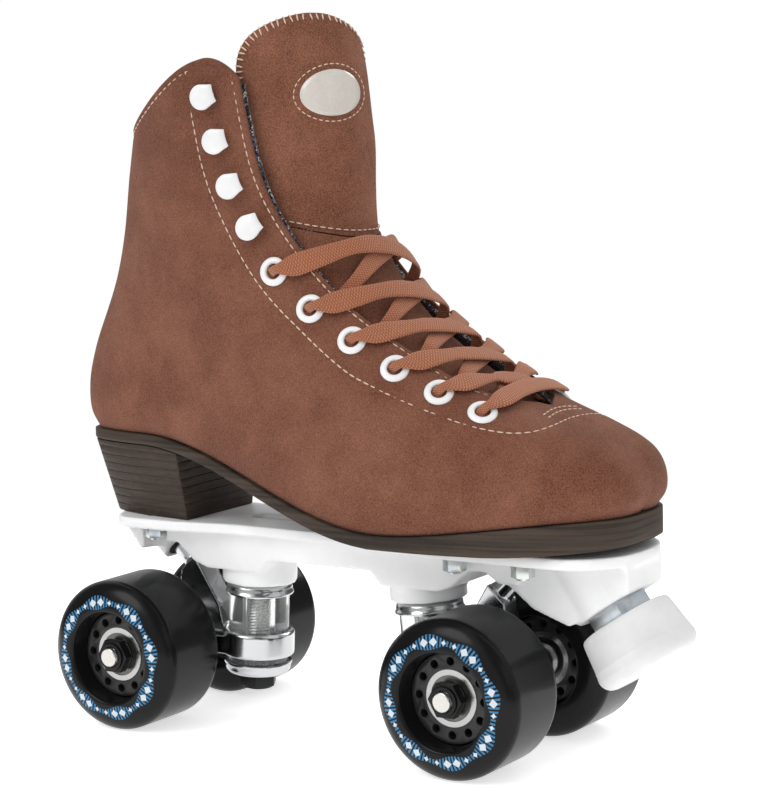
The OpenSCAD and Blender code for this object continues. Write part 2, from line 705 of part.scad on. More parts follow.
lace_points = [for (q = lace_route) shell(q[0], q[1], q[2])];
lace_sides = 8;
module lace() {
  n = len(lace_points);
  m = lace_sides;
  color("chocolate") on_floor() polyhedron(
    points = [for (k = [0:n - 1]) each lace_ring(k)],
    faces = concat(
      [for (k = [0:n - 2], q = [0:m - 1]) let (a = k * m + q, b = k * m + (q + 1) % m, c = b + m, d = a + m)
        each [[a, d, c], [a, c, b]]],
      [for (q = [1:m - 2]) [0, q, q + 1]],
      [for (q = [1:m - 2]) [(n - 1) * m, (n - 1) * m + q + 1, (n - 1) * m + q]]
    ),
    convexity = 20
  );
}

// Frames of a truck: s is 1 at the front and -1 at the rear
module at_end(s) {
  if (s > 0) children();
  else mirror([1, 0, 0]) children();
}
module at_kingpin() translate([ring_x, 0, wheel_r]) rotate([0, -kingpin_lean, 0]) children();
module at_steer() translate([ring_x, 0, wheel_r]) rotate([0, 90 - steer_angle, 0]) children();
module at_stop() translate([stop_x, 0, stop_z]) rotate([0, 180 - stop_lean, 0]) children();
module hex(af, h) cylinder(d = af / cos(30), h = h, $fn = 6);
module tube(r_out, r_in, h) difference() {
  cylinder(r = r_out, h = h);
  translate([0, 0, -cut]) cylinder(r = r_in, h = h + 2 * cut);
}

// Plate: top, side walls, bosses for kingpins and pivots, and the nose for the toe stop
function plate_half(x) = plate_mid_half
  + (plate_rear_half - plate_mid_half) * (1 - ease((x + 70) / 35))
  + (plate_front_half - plate_mid_half) * ease((x - 20) / 40);
function plate_end(x) = x < plate_rear_x + tail_run ? round_end((x - plate_rear_x) / tail_run)
  : x > plate_front_x - nose_run ? round_end((plate_front_x - x) / nose_run) : 1;
function flange_x(k) = mix(plate_rear_x, plate_front_x, along(mix(0.02, 0.98, k / flange_steps)));
flange_edge = [for (k = [0:flange_steps]) let (x = flange_x(k)) [x, plate_half(x) * plate_end(x)]];
wall_profile = [
  [0, beam_z], [ring_x - boss_d / 2 - 3, beam_z], [ring_x - boss_d / 2 + 2, beam_z - 5.5],
  [ring_x + boss_d / 2 - 3, beam_z - 5.5], [ring_x + boss_d / 2 + 4, beam_z - 3],
  [axle_x - 9, beam_z + 4], [axle_x - 2, beam_z + 4], [axle_x + 4, beam_z], [axle_x + 11, beam_z],
  [axle_x + 20, flange_z + cut], [0, flange_z + cut]
];
nose_profile = [
  [pivot_x, beam_z + 1], [axle_x + 17, beam_z - 9], [stop_x - 13, stop_z - 7], [stop_x + 12.5, stop_z + 8.3],
  [stop_x + 12.5, flange_z + cut], [pivot_x, flange_z + cut]
];
slot_x = -26;
slot_len = 26;
slot_w = 9;
small_hole_x = 8;
module side_plate(profile, half)
  translate([0, half, 0]) rotate([90, 0, 0]) linear_extrude(2 * half) polygon(profile);
module plate() color("white") on_floor() difference() {
  union() {
    translate([0, 0, flange_z]) linear_extrude(plate_t)
      polygon(concat(flange_edge, [for (k = [flange_steps:-1:0]) [flange_edge[k][0], -flange_edge[k][1]]]));
    for (s = [-1, 1]) at_end(s) {
      side_plate(wall_profile, beam_half);
      at_kingpin() translate([0, 0, boss_h]) cylinder(d = boss_d, h = 18);
      at_steer() translate([0, 0, steer_len - pivot_mouth])
        cylinder(r = pivot_d / 2 + pivot_cup_wall + pivot_wall, h = pivot_mouth + pivot_in + pivot_wall);
    }
    side_plate(nose_profile, nose_half);
    intersection() {
      at_stop() translate([0, 0, -40]) cylinder(d = stop_boss_d, h = 40);
      translate([0, -stop_boss_d, 0]) cube([2 * stop_x, 2 * stop_boss_d, plate_z - cut]);
    }
  }
  for (s = [-1, 1]) at_end(s) {
    at_kingpin() translate([0, 0, boss_h - cut])
      cylinder(d = kingpin_d + 2 * press, h = kingpin_up - boss_h + cut + touch);
    at_steer() translate([0, 0, steer_len - pivot_mouth - 4])
      cylinder(
        r = pivot_d / 2 + pivot_cup_wall + press,
        h = 4 + pivot_mouth + pivot_in + pivot_cup_wall + touch
      );
  }
  at_stop() translate([0, 0, -60]) cylinder(d = stem_d + 2 * slip * 2, h = 60 + cut);
  bolt_holes(flange_z - cut, plate_z + cut);
  for (b = bolts) translate([b[0], b[1], 0]) cylinder(r = nut_pocket_r, h = flange_z);
  for (x = [slot_x - slot_len / 2, slot_x + slot_len / 2])
    translate([x, 0, beam_z + 5]) cylinder(d = slot_w, h = plate_z);
  translate([slot_x - slot_len / 2, -slot_w / 2, beam_z + 5]) cube([slot_len, slot_w, plate_z]);
  translate([small_hole_x, 0, beam_z + 5]) cylinder(d = slot_w * 0.6, h = plate_z);
}

// Mounting bolts from the insole through sole, heel and plate, with their nuts below
function head_z(b) = foot_z(sole_share(b[0])) + insole_t + head_rise;
module mounting_bolts() color("lightsteelblue") on_floor()
  for (b = bolts) translate([b[0], b[1], 0]) {
    low = flange_z - bolt_nut_h - 1;
    translate([0, 0, low]) cylinder(d = bolt_d, h = head_z(b) - low + touch);
    translate([0, 0, head_z(b)]) cylinder(r1 = bolt_head_r, r2 = bolt_head_r * 0.6, h = bolt_head_h);
  }
module mounting_nuts() color("lightsteelblue") on_floor()
  for (b = bolts) translate([b[0], b[1], flange_z - bolt_nut_h - touch]) difference() {
    rotate([0, 0, 30]) hex(bolt_nut_af, bolt_nut_h);
    translate([0, 0, -cut]) cylinder(d = bolt_d + 2 * press, h = bolt_nut_h + 2 * cut);
  }

// Kingpins and what is stacked on them
module kingpins() color("silver") on_floor() for (s = [-1, 1]) at_end(s) at_kingpin()
  translate([0, 0, -nut_h - kingpin_nut_h - 0.5])
    cylinder(d = kingpin_d, h = kingpin_up + nut_h + kingpin_nut_h + 0.5);
module kingpin_nuts() color("#202020") on_floor() for (s = [-1, 1]) at_end(s) at_kingpin()
  translate([0, 0, -nut_h - kingpin_nut_h]) difference() {
    union() {
      translate([0, 0, 1]) hex(kingpin_nut_af, kingpin_nut_h - 1);
      cylinder(d = kingpin_nut_af * 0.9, h = 1);
    }
    translate([0, 0, -cut]) cylinder(d = kingpin_d + 2 * press, h = kingpin_nut_h + 2 * cut);
  }
module cup() difference() {
  union() {
    cylinder(r = cup_r, h = cup_h);
    translate([0, 0, cup_h]) cylinder(r1 = cup_r, r2 = cup_r - 0.8, h = cup_wall);
  }
  translate([0, 0, -cut]) cylinder(r = cushion_d / 2 + seat, h = cup_h + cut);
  cylinder(d = kingpin_d + 2 * seat, h = 2 * cup_h);
}
module cushion_washers() color("gainsboro") on_floor() for (s = [-1, 1]) at_end(s) at_kingpin() {
  translate([0, 0, upper_top - cup_h]) cup();
  translate([0, 0, -lower_foot + cup_h]) mirror([0, 0, 1]) cup();
}
module upper_cushion(s) color("whitesmoke") on_floor() at_end(s) at_kingpin()
  translate([0, 0, seat_h + touch]) tube(cushion_d / 2, kingpin_d / 2 + seat, upper_cushion_h - touch);
module lower_cushion(s) color("whitesmoke") on_floor() at_end(s) at_kingpin()
  translate([0, 0, -seat_h - lower_cushion_h])
    tube(cushion_d / 2, kingpin_d / 2 + seat, lower_cushion_h - touch);
module front_upper_cushion() upper_cushion(1);
module front_lower_cushion() lower_cushion(1);
module rear_upper_cushion() upper_cushion(-1);
module rear_lower_cushion() lower_cushion(-1);
module pivot_cups() color("#303030") on_floor() for (s = [-1, 1]) at_end(s) at_steer()
  translate([0, 0, steer_len - pivot_mouth]) difference() {
    cylinder(r = pivot_d / 2 + pivot_cup_wall, h = pivot_mouth + pivot_in + pivot_cup_wall);
    translate([0, 0, -cut]) cylinder(r = pivot_d / 2 + slip, h = pivot_mouth + pivot_in + cut);
  }

// Toe stop: a rubber pad moulded on a screwed stem, locked by a thin nut
module toe_stop_locknut() color("lightsteelblue") on_floor() at_stop() translate([0, 0, touch]) difference() {
  hex(stop_nut_af, stop_nut_h - touch);
  translate([0, 0, -cut]) cylinder(d = stem_d + 4 * slip, h = stop_nut_h + 2 * cut);
}
module toe_stop_stem() color("silver") on_floor() at_stop()
  translate([0, 0, -stem_up]) cylinder(d = stem_d, h = stem_up + pad_z + pad_h * 0.6);
module toe_stop_pad() color("white") on_floor() at_stop() translate([0, 0, pad_z]) difference() {
  rotate_extrude() polygon(concat(
    [[0, 0], [pad_top_d / 2 - 2, 0], [pad_top_d / 2, 2]],
    [for (k = [0:arc_steps]) [pad_d / 2 - pad_edge + pad_edge * cos(90 * k / arc_steps),
      pad_h - pad_edge + pad_edge * sin(90 * k / arc_steps)]],
    [[0, pad_h]]
  ));
  translate([0, 0, -cut]) cylinder(d = stem_d + 2 * press, h = pad_h * 0.6 + cut + touch);
}

// Hanger: ring round the kingpin, axle tube, webs between them and the arm to the pivot pin
module hanger(s) {
  ring_r = ring_d / 2;
  pin_foot = steer_len - arm_stop - 3;
  pin_base = [ring_x + pin_foot * cos(steer_angle), wheel_r + pin_foot * sin(steer_angle)];
  half = arm_w / 2;
  inner_x = ring_x + ring_r - 1;
  arm_profile = [
    [inner_x, wheel_r - ring_h * 0.35],
    [inner_x, wheel_r + ring_h / 2 - 0.5],
    [inner_x + 2, wheel_r + ring_h / 2 + 9],
    pin_base + half * 0.9 * [-sin(steer_angle), cos(steer_angle)],
    pin_base + half * 0.9 * [sin(steer_angle), -cos(steer_angle)],
    [axle_x + 2, wheel_r + tube_d * 0.45],
    [axle_x, wheel_r - tube_d * 0.3]
  ];
  color("gainsboro") on_floor() at_end(s) difference() {
    union() {
      at_kingpin() {
        translate([0, 0, -ring_h / 2 + 1]) cylinder(r = ring_r, h = ring_h - 2);
        translate([0, 0, -ring_h / 2]) cylinder(r1 = ring_r - 1, r2 = ring_r, h = 1);
        translate([0, 0, ring_h / 2 - 1]) cylinder(r1 = ring_r, r2 = ring_r - 1, h = 1);
      }
      side_plate(arm_profile, half);
      translate([0, 0, wheel_r - ring_h * 0.35]) linear_extrude(ring_h * 0.7) polygon([
        [ring_x, -ring_r + 1], [axle_x, -tube_half * 0.7], [axle_x, tube_half * 0.7], [ring_x, ring_r - 1]
      ]);
      translate([axle_x, tube_half, wheel_r]) rotate([90, 0, 0]) cylinder(d = tube_d, h = 2 * tube_half);
      at_steer() translate([0, 0, steer_len - arm_stop - 6])
        cylinder(d = pivot_d, h = arm_stop + 6 + pivot_in - 0.3);
    }
    at_kingpin() {
      translate([0, 0, -ring_h]) cylinder(d = ring_bore_d, h = 2 * ring_h);
      translate([0, 0, seat_h]) cylinder(r = cushion_d / 2 + seat, h = ring_h);
      translate([0, 0, -seat_h - ring_h]) cylinder(r = cushion_d / 2 + seat, h = ring_h);
    }
    translate([axle_x, track, wheel_r]) rotate([90, 0, 0]) cylinder(d = axle_d + 2 * press, h = 2 * track);
  }
}
module front_hanger() hanger(1);
module rear_hanger() hanger(-1);

// Pieces on an axle, laid out along +Y at the axle
module at_axle(s) translate([s * axle_x, 0, wheel_r]) children();
module along_y(y) translate([0, y, 0]) rotate([-90, 0, 0]) children();
module axle(s) color("silver") on_floor() at_axle(s) {
  along_y(-axle_half + 0.6) cylinder(d = axle_d, h = 2 * axle_half - 1.2);
  along_y(axle_half - 0.6) cylinder(d1 = axle_d, d2 = axle_d - 1.2, h = 0.6);
  along_y(-axle_half) cylinder(d1 = axle_d - 1.2, d2 = axle_d, h = 0.6);
}
module axle_nuts(s) color("#202020") on_floor() at_axle(s) both_sides()
  along_y(hub_face_y + washer_t + 2 * touch) difference() {
    union() {
      hex(axle_nut_af, axle_nut_h * 0.75);
      translate([0, 0, axle_nut_h * 0.75]) cylinder(d = axle_nut_af * 0.88, h = axle_nut_h * 0.25);
    }
    translate([0, 0, -cut]) cylinder(d = axle_d + 2 * press, h = axle_nut_h + 2 * cut);
  }
module axle_washers(s) color("silver") on_floor() at_axle(s) both_sides()
  for (y = [hub_face_y + touch, track / 2 - hub_w / 2 - washer_t])
    along_y(y) tube(washer_r, axle_d / 2 + press, washer_t - touch);
module inner_rings(s) color("silver") on_floor() at_axle(s) both_sides()
  for (k = [-1, 1]) along_y(track / 2 + k * bearing_y) difference() {
    translate([0, 0, -bearing_w / 2]) tube(inner_ring_r, axle_d / 2 + press, bearing_w - touch);
    rotate_extrude() translate([ball_ring_r, 0]) circle(r = race_r);
  }
module spacers(s) color("silver") on_floor() at_axle(s) both_sides()
  along_y(track / 2 - spacer_len / 2) tube(axle_d / 2 + 1.6, axle_d / 2 + press, spacer_len - touch);
module front_axle() axle(1);
module rear_axle() axle(-1);
module front_axle_nuts() axle_nuts(1);
module rear_axle_nuts() axle_nuts(-1);
module front_axle_washers() axle_washers(1);
module rear_axle_washers() axle_washers(-1);
module front_inner_rings() inner_rings(1);
module rear_inner_rings() inner_rings(-1);
module front_spacers() spacers(1);
module rear_spacers() spacers(-1);

// Wheels: s is 1 at the front and -1 at the rear, side is -1 on the right and 1 on the left
module at_wheel(s, side) on_floor() at_axle(s) along_y(side * track / 2) children();
function shoulder(k) = [
  lip_r + shoulder_drop * sin(90 * k / arc_steps),
  tyre_w / 2 - shoulder_run + shoulder_run * cos(90 * k / arc_steps)
];
tyre_half = concat(
  [
    [hub_d / 2, hub_w / 2],
    [lip_r - lip_round - 0.4, tyre_w / 2 - lip_round],
    [lip_r - lip_round, tyre_w / 2 - 0.2]
  ],
  [for (k = [0:arc_steps]) shoulder(k)]
);
module tyre(s, side) color("#181818") at_wheel(s, side) rotate_extrude($fn = 96)
  polygon(concat(tyre_half, [for (k = [len(tyre_half) - 1:-1:0]) [tyre_half[k][0], -tyre_half[k][1]]]));
module hub(s, side) color("#101010") at_wheel(s, side) difference() {
  translate([0, 0, -hub_w / 2]) cylinder(r = hub_d / 2 - press, h = hub_w);
  translate([0, 0, -hub_w]) cylinder(r = hub_shoulder_r, h = 2 * hub_w);
  for (k = [-1, 1]) translate([0, 0, k * bearing_y]) translate([0, 0, -bearing_w / 2 - (k < 0 ? cut : 0)])
    cylinder(r = bearing_od / 2 + press, h = bearing_w + cut);
  for (k = [1:hub_hole_count]) rotate([0, 0, 360 * k / hub_hole_count])
    translate([hub_hole_ring_r, 0, -hub_w]) cylinder(d = hub_hole_d, h = 2 * hub_w);
}
module outer_rings(s, side) color("silver") at_wheel(s, side)
  for (k = [-1, 1]) translate([0, 0, k * bearing_y]) difference() {
    translate([0, 0, -bearing_w / 2 + touch]) tube(bearing_od / 2, outer_ring_r, bearing_w - 2 * touch);
    rotate_extrude() translate([ball_ring_r, 0]) circle(r = race_r);
    for (m = [-1, 1]) translate([0, 0, m * (bearing_w / 2 - shield_t - 0.3)])
      cylinder(r = outer_ring_r + 0.5, h = shield_t + touch, center = true);
  }
module shields(s, side) color("gainsboro") at_wheel(s, side) for (k = [-1, 1], m = [-1, 1])
  translate([0, 0, k * bearing_y + m * (bearing_w / 2 - shield_t - 0.3) - shield_t / 2])
    tube(outer_ring_r + 0.45, inner_ring_r + 0.25, shield_t);
module balls(s, side) color("gainsboro") at_wheel(s, side) for (k = [-1, 1], n = [1:ball_count])
  translate([0, 0, k * bearing_y]) rotate([0, 0, 360 * n / ball_count])
    translate([ball_ring_r, 0, 0]) sphere(d = ball_d);

upper_right();
upper_left();
lining();
tongue();
tongue_top();
tongue_badge();
insole();
outsole();
heel();
eyelets();
lace_hooks();
lace();
plate();
mounting_bolts();
mounting_nuts();
kingpins();
kingpin_nuts();
pivot_cups();
cushion_washers();
front_upper_cushion();
front_lower_cushion();
rear_upper_cushion();
rear_lower_cushion();
toe_stop_locknut();
toe_stop_stem();
toe_stop_pad();
front_hanger();
front_axle();
front_axle_nuts();
front_axle_washers();
front_inner_rings();
front_spacers();
rear_hanger();
rear_axle();
rear_axle_nuts();
rear_axle_washers();
rear_inner_rings();
rear_spacers();
tyre(1, -1);  // front_right_tyre
hub(1, -1);  // front_right_hub
outer_rings(1, -1);  // front_right_outer_rings
shields(1, -1);  // front_right_shields
balls(1, -1);  // front_right_balls
tyre(1, 1);  // front_left_tyre
hub(1, 1);  // front_left_hub
outer_rings(1, 1);  // front_left_outer_rings
shields(1, 1);  // front_left_shields
balls(1, 1);  // front_left_balls
tyre(-1, -1);  // rear_right_tyre
hub(-1, -1);  // rear_right_hub
outer_rings(-1, -1);  // rear_right_outer_rings
shields(-1, -1);  // rear_right_shields
balls(-1, -1);  // rear_right_balls
tyre(-1, 1);  // rear_left_tyre
hub(-1, 1);  // rear_left_hub
outer_rings(-1, 1);  // rear_left_outer_rings
shields(-1, 1);  // rear_left_shields
balls(-1, 1);  // rear_left_balls
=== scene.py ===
# Quad roller skate: a laced suede boot on a white nylon plate with chromed trucks, wheels and a toe stop.
import json
import math

import bmesh
import bpy
import numpy as np
from mathutils import Matrix, Vector


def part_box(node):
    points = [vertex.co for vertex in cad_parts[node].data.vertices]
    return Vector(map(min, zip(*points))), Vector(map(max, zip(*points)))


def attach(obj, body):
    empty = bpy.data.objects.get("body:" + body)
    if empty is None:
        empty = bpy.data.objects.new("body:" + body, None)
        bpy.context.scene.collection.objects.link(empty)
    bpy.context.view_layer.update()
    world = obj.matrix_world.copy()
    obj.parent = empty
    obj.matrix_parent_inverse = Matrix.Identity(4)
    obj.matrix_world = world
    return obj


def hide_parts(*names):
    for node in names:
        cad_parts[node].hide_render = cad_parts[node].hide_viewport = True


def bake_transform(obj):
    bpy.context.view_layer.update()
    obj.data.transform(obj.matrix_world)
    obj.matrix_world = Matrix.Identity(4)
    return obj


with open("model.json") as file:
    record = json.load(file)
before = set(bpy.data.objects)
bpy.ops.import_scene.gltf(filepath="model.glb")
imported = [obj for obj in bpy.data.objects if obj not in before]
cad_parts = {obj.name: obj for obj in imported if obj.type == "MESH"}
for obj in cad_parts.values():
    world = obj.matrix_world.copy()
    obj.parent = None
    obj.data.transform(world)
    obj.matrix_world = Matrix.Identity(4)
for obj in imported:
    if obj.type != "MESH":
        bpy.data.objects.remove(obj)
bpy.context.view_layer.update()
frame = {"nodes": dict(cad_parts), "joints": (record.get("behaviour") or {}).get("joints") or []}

# View: the camera stands ahead of the skate's right side, a little above the middle of the boot, with the
# long lens of a product picture and a slight tilt.
look_at = Vector((0.00455, 0, 0.13501))
view_turn = math.radians(33.71)
view_rise = math.radians(7.24)
view_tilt = math.radians(-1.73)
view_distance = 0.94425
view_back = Vector((math.sin(view_turn) * math.cos(view_rise), -math.cos(view_turn) * math.cos(view_rise),
                    math.sin(view_rise)))
view_right = Vector((math.cos(view_turn), math.sin(view_turn), 0))
view_up = view_back.cross(view_right)
view_side = view_right * math.cos(view_tilt) + view_up * math.sin(view_tilt)
view_head = view_up * math.cos(view_tilt) - view_right * math.sin(view_tilt)
lens = bpy.data.cameras.new("view")
lens.lens = 107.02
lens.clip_start = 0.05
camera = bpy.data.objects.new("view", lens)
camera.matrix_world = (Matrix.Translation(look_at + view_distance * view_back)
                       @ Matrix((view_side, view_head, view_back)).transposed().to_4x4())
scene = bpy.context.scene
scene.collection.objects.link(camera)
scene.camera = camera
scene.view_settings.view_transform = "Standard"


# Floor and light: a pale matt floor that fades into a white studio. A large soft light hangs above the
# camera's left, with weaker ones to the right and low in front and a strip behind. Dark cards stand round the
# skate for its metal to mirror, and only glossy reflections see them.
class Tone:
    """One socket of a finish: arithmetic on it adds Math nodes, and node() adds any other node."""

    def __init__(self, tree, socket=None):
        self.tree = tree
        self.socket = socket

    def node(self, kind, settings=None, sockets=None, out=0):
        made = self.tree.nodes.new("ShaderNode" + kind)
        for name, value in (settings or {}).items():
            if name == "stops":
                ramp = made.color_ramp.elements
                while len(ramp) < len(value):
                    ramp.new(1)
                for stop, (place, colour) in zip(ramp, value):
                    stop.position = place
                    stop.color = colour
            elif name == "steps":
                made.color_ramp.interpolation = value
            else:
                setattr(made, name, value)
        for name, value in (sockets or {}).items():
            if isinstance(value, Tone):
                self.tree.links.new(value.socket, made.inputs[name])
            else:
                made.inputs[name].default_value = value
        return Tone(self.tree, made.outputs[out])

    def to(self, shader, socket):
        self.tree.links.new(self.socket, shader.inputs[socket])

    def math(self, operation, first, second=0.0):
        return self.node("Math", {"operation": operation}, {0: first, 1: second})

    def __add__(self, other):
        return self.math("ADD", self, other)

    def __sub__(self, other):
        return self.math("SUBTRACT", self, other)

    def __rsub__(self, other):
        return self.math("SUBTRACT", other, self)

    def __mul__(self, other):
        return self.math("MULTIPLY", self, other)

    def __truediv__(self, other):
        return self.math("DIVIDE", self, other)

    def __mod__(self, other):
        return self.math("FLOORED_MODULO", self, other)

    def __abs__(self):
        return self.math("ABSOLUTE", self)

    def __lt__(self, other):
        return self.math("LESS_THAN", self, other)

    def __gt__(self, other):
        return self.math("GREATER_THAN", self, other)

    __radd__ = __add__
    __rmul__ = __mul__

    def wave(self):
        """A sine that repeats each time the value gains 1."""
        return self.math("SINE", self * (2 * math.pi))

    def most(self, other):
        return self.math("MAXIMUM", self, other)

    def rise(self, low, high):
        return self.node("MapRange", {"interpolation_type": "SMOOTHSTEP"},
                         {"Value": self, "From Min": low, "From Max": high})

    def between(self, low, high):
        return self.node("Mix", {"data_type": "RGBA"}, {0: self, 6: low, 7: high}, 2)

    def noise(self, scale, detail=3.0, roughness=0.55):
        return self.node("TexNoise", {}, {"Vector": self, "Scale": scale, "Detail": detail,
                                          "Roughness": roughness})

    def drawn_out(self, *scale):
        """The same place with each axis on its own scale, for a pattern that runs long one way."""
        return self.node("Mapping", {}, {"Vector": self, "Scale": scale})

    def parts(self):
        return [self.node("SeparateXYZ", {}, {0: self}, axis) for axis in range(3)]

    def bump(self, strength, distance):
        return self.node("Bump", {}, {"Height": self, "Strength": strength, "Distance": distance})


def paint(red, green, blue):
    """A colour as it shows on a screen, 0 to 255, as the shader wants it."""
    def linear(part):
        part /= 255
        return part / 12.92 if part <= 0.04045 else ((part + 0.055) / 1.055) ** 2.4
    return linear(red), linear(green), linear(blue), 1


def finish(name, **fixed):
    """A new finish, the places on the piece that its pattern reads, and its shader."""
    material = bpy.data.materials.new(name)
    material.use_nodes = True
    shader = material.node_tree.nodes["Principled BSDF"]
    for socket, value in fixed.items():
        shader.inputs[socket.replace("_", " ")].default_value = value
    return material, Tone(material.node_tree).node("TexCoord", out="Object"), shader


for name, spot, size, power in (
        ("key_light", (-0.6, -1.5, 1.35), 1.2, 12),
        ("fill_light", (1.5, -0.75, 0.7), 0.9, 1.3),
        ("low_fill", (0.75, -1.45, 0.22), 0.7, 0.5),
        ("rear_strip", (0.4, 1.5, 1.2), 0.8, 7)):
    lamp = bpy.data.lights.new(name, "AREA")
    lamp.shape = "DISK"
    lamp.size = size
    lamp.energy = power
    stand = bpy.data.objects.new(name, lamp)
    stand.matrix_world = (Matrix.Translation(spot)
                          @ (Vector(spot) - look_at).to_track_quat("Z", "Y").to_matrix().to_4x4())
    scene.collection.objects.link(stand)
studio = bpy.data.worlds.new("studio")
studio.use_nodes = True
scene.world = studio
backdrop = studio.node_tree.nodes["Background"]
backdrop.inputs["Color"].default_value = (1, 1, 1, 1)
air = Tone(studio.node_tree)
ahead, aside, height = air.node("TexCoord", out="Generated").parts()
card_turn = 3 * air.math("ARCTAN2", aside, ahead) + 0.6
cards = 1 - air.math("SINE", card_turn).rise(-0.5, 0.6)
glow = 0.6 + 0.32 * height.rise(-0.1, 0.9)
glow = glow * (1 - 0.8 * cards * air.node("LightPath", out="Is Glossy Ray"))
seen = air.node("LightPath", out="Is Camera Ray")
(glow + seen * (1 - glow)).to(backdrop, "Strength")
floor_matt, place, shader = finish("floor_matt", Base_Color=(0.9, 0.9, 0.9, 1), Emission_Color=(1, 1, 1, 1),
                                   Emission_Strength=0.62)
fade_from, fade_to, floor_radius = 0.3, 0.62, 8
(0.78 + 0.1 * place.noise(6)).to(shader, "Roughness")
far = place.node("VectorMath", {"operation": "LENGTH"}, {0: place}, "Value")
(1 - far.rise(fade_from, fade_to)).to(shader, "Alpha")
bm = bmesh.new()
bmesh.ops.create_circle(bm, cap_ends=True, segments=96, radius=floor_radius)
mesh = bpy.data.meshes.new("floor")
bm.to_mesh(mesh)
bm.free()
mesh.materials.append(floor_matt)
floor = bpy.data.objects.new("floor", mesh)
scene.collection.objects.link(floor)


# Suede upper: two halves of napped split leather, lasted over the foot and closed down the back and the toe.
# Its face is laid out by girth g, from the middle of the back (-1) round the right side to the front (0), and
# by height v, from the sole (0) to the collar (1). Sizes are millimetres from the middle of the wheelbase.
MM = 0.001
joints = {joint["name"]: joint for joint in frame["joints"]}


def joint_at(name):
    return np.array(joints[name]["pos_m"]) / MM


middle_x = -(joint_at("front_right_wheel_spin")[0] + joint_at("rear_right_wheel_spin")[0]) / 2
rear_x, boot_length = -120.0, 259.5
heel_width, ball_width = 67.0, 94.0
heel_seat, ball_seat, toe_spring = 119.5, 89.5, 9.0
suede_thick, layer_gap, lining_thick = 2.0, 0.35, 1.4
throat_foot, throat_round = 0.506, 0.14
throat_half, throat_taper = 33.3, 13.5
nudge = 0.004
# A row of the face holds its inset and rise at the back, its inset and rise at the toe, what its half width
# gains at the heel and at the ball, and how square its outline is at both.
boot_rows = np.array([
    [4, 0, 2.5, 0, -4.5, -2, 0.50, 0.60],
    [0, 8, 0, 7.5, -1.5, 0, 0.55, 0.62],
    [0, 20, 4.5, 19, 0, -0.5, 0.60, 0.66],
    [4, 33.5, 18.5, 29, 0.5, -2.5, 0.66, 0.70],
    [10, 48.5, 40.5, 38.5, 1, -5, 0.72, 0.74],
    [16.5, 65.5, 67, 53.5, 1.5, -7.5, 0.78, 0.78],
    [22, 84.5, 96.5, 76.5, 2, -10, 0.84, 0.82],
    [26.5, 106.5, 119.5, 113.5, 3, -11, 0.88, 0.86],
    [32, 129.5, 128.5, 163.5, 4, -10.5, 0.90, 0.90],
], float)
last_row = len(boot_rows) - 1


def ease(share):
    share = np.clip(share, 0, 1)
    return share * share * (3 - 2 * share)


def mix(low, high, share):
    return low + (high - low) * share


def curve(a, b, c, d, f):
    """What lies at share f between b and c, on a smooth curve that comes from a and goes on to d."""
    return (2 * b + (c - a) * f + (2 * a - 5 * b + 4 * c - d) * f ** 2 + (3 * b - a - 3 * c + d) * f ** 3) / 2


def boot_row(v):
    place = np.asarray(v, float) * last_row
    i = np.clip(np.floor(place).astype(int), 0, last_row - 1)
    b, c = boot_rows[i], boot_rows[i + 1]
    a = np.where((i > 0)[..., None], boot_rows[np.maximum(i - 1, 0)], 2 * b - c)
    d = np.where((i < last_row - 1)[..., None], boot_rows[np.minimum(i + 2, last_row)], 2 * c - b)
    return curve(a, b, c, d, (place - i)[..., None])


def foot_z(t):
    """Height of the foot's bed at a share of its length from the heel."""
    return heel_seat + (ball_seat - heel_seat) * ease((t - 0.14) / 0.5) + toe_spring * ease((t - 0.62) / 0.4)


def along_foot(u):
    return (1 - np.cos(np.pi * u)) / 2


def girth_half(row, t, u):
    wide = mix(heel_width / 2 + row[..., 4], ball_width / 2 + row[..., 5], ease((t - 0.15) / 0.6))
    return wide * np.maximum(np.sin(np.pi * u), 1e-12) ** mix(row[..., 6], row[..., 7], t)


def skin(g, v):
    """Points of the boot's outer face."""
    g, v = np.broadcast_arrays(np.asarray(g, float), np.asarray(v, float))
    q = np.where(g > 1, g - 2, np.where(g < -1, g + 2, g))
    u = 1 - np.abs(q)
    t = along_foot(u)
    row = boot_row(v)
    toe_seat = ball_seat + toe_spring
    sag = foot_z(t) - mix(heel_seat, toe_seat, t)
    return np.stack([
        mix(rear_x + row[..., 0], rear_x + boot_length - row[..., 2], t) - middle_x,
        np.sign(q) * girth_half(row, t, u),
        mix(heel_seat + row[..., 1], toe_seat + row[..., 3], t) + sag * np.maximum(0, 1 - v * 2) ** 1.5,
    ], -1)


def unit(vectors):
    return vectors / np.linalg.norm(vectors, axis=-1, keepdims=True)


def outward(g, v):
    g, v = np.asarray(g, float), np.asarray(v, float)
    return unit(np.cross(skin(g + nudge, v) - skin(g - nudge, v), skin(g, v + nudge) - skin(g, v - nudge)))


def shell(g, v, off):
    return skin(g, v) + np.asarray(off, float)[..., None] * outward(g, v)


def run_g(g, v):
    """Millimetres of the face for one unit of girth."""
    return np.linalg.norm(skin(g + nudge, v) - skin(g - nudge, v), axis=-1) / (2 * nudge)


def run_v(g, v):
    """Millimetres of the face for one unit of height."""
    return np.linalg.norm(skin(g, v + nudge) - skin(g, v - nudge), axis=-1) / (2 * nudge)


def throat(w):
    """Half girth of the throat's opening at a row of the upper."""
    w = np.asarray(w, float)
    s = np.clip((w - throat_foot) / (1 - throat_foot), 0, 1)
    rounded = np.sqrt(np.maximum(0, 1 - (1 - s / throat_round) ** 2))
    wide = (throat_half - throat_taper * (1 - s) ** 1.4) * np.where(s < throat_round, rounded, 1)
    low, high = np.zeros_like(w), np.full_like(w, 0.5)
    for _ in range(24):
        half = (low + high) / 2
        short = skin(half, w)[..., 1] < wide
        low, high = np.where(short, half, low), np.where(short, high, half)
    return np.where(w <= throat_foot, 0, (low + high) / 2)


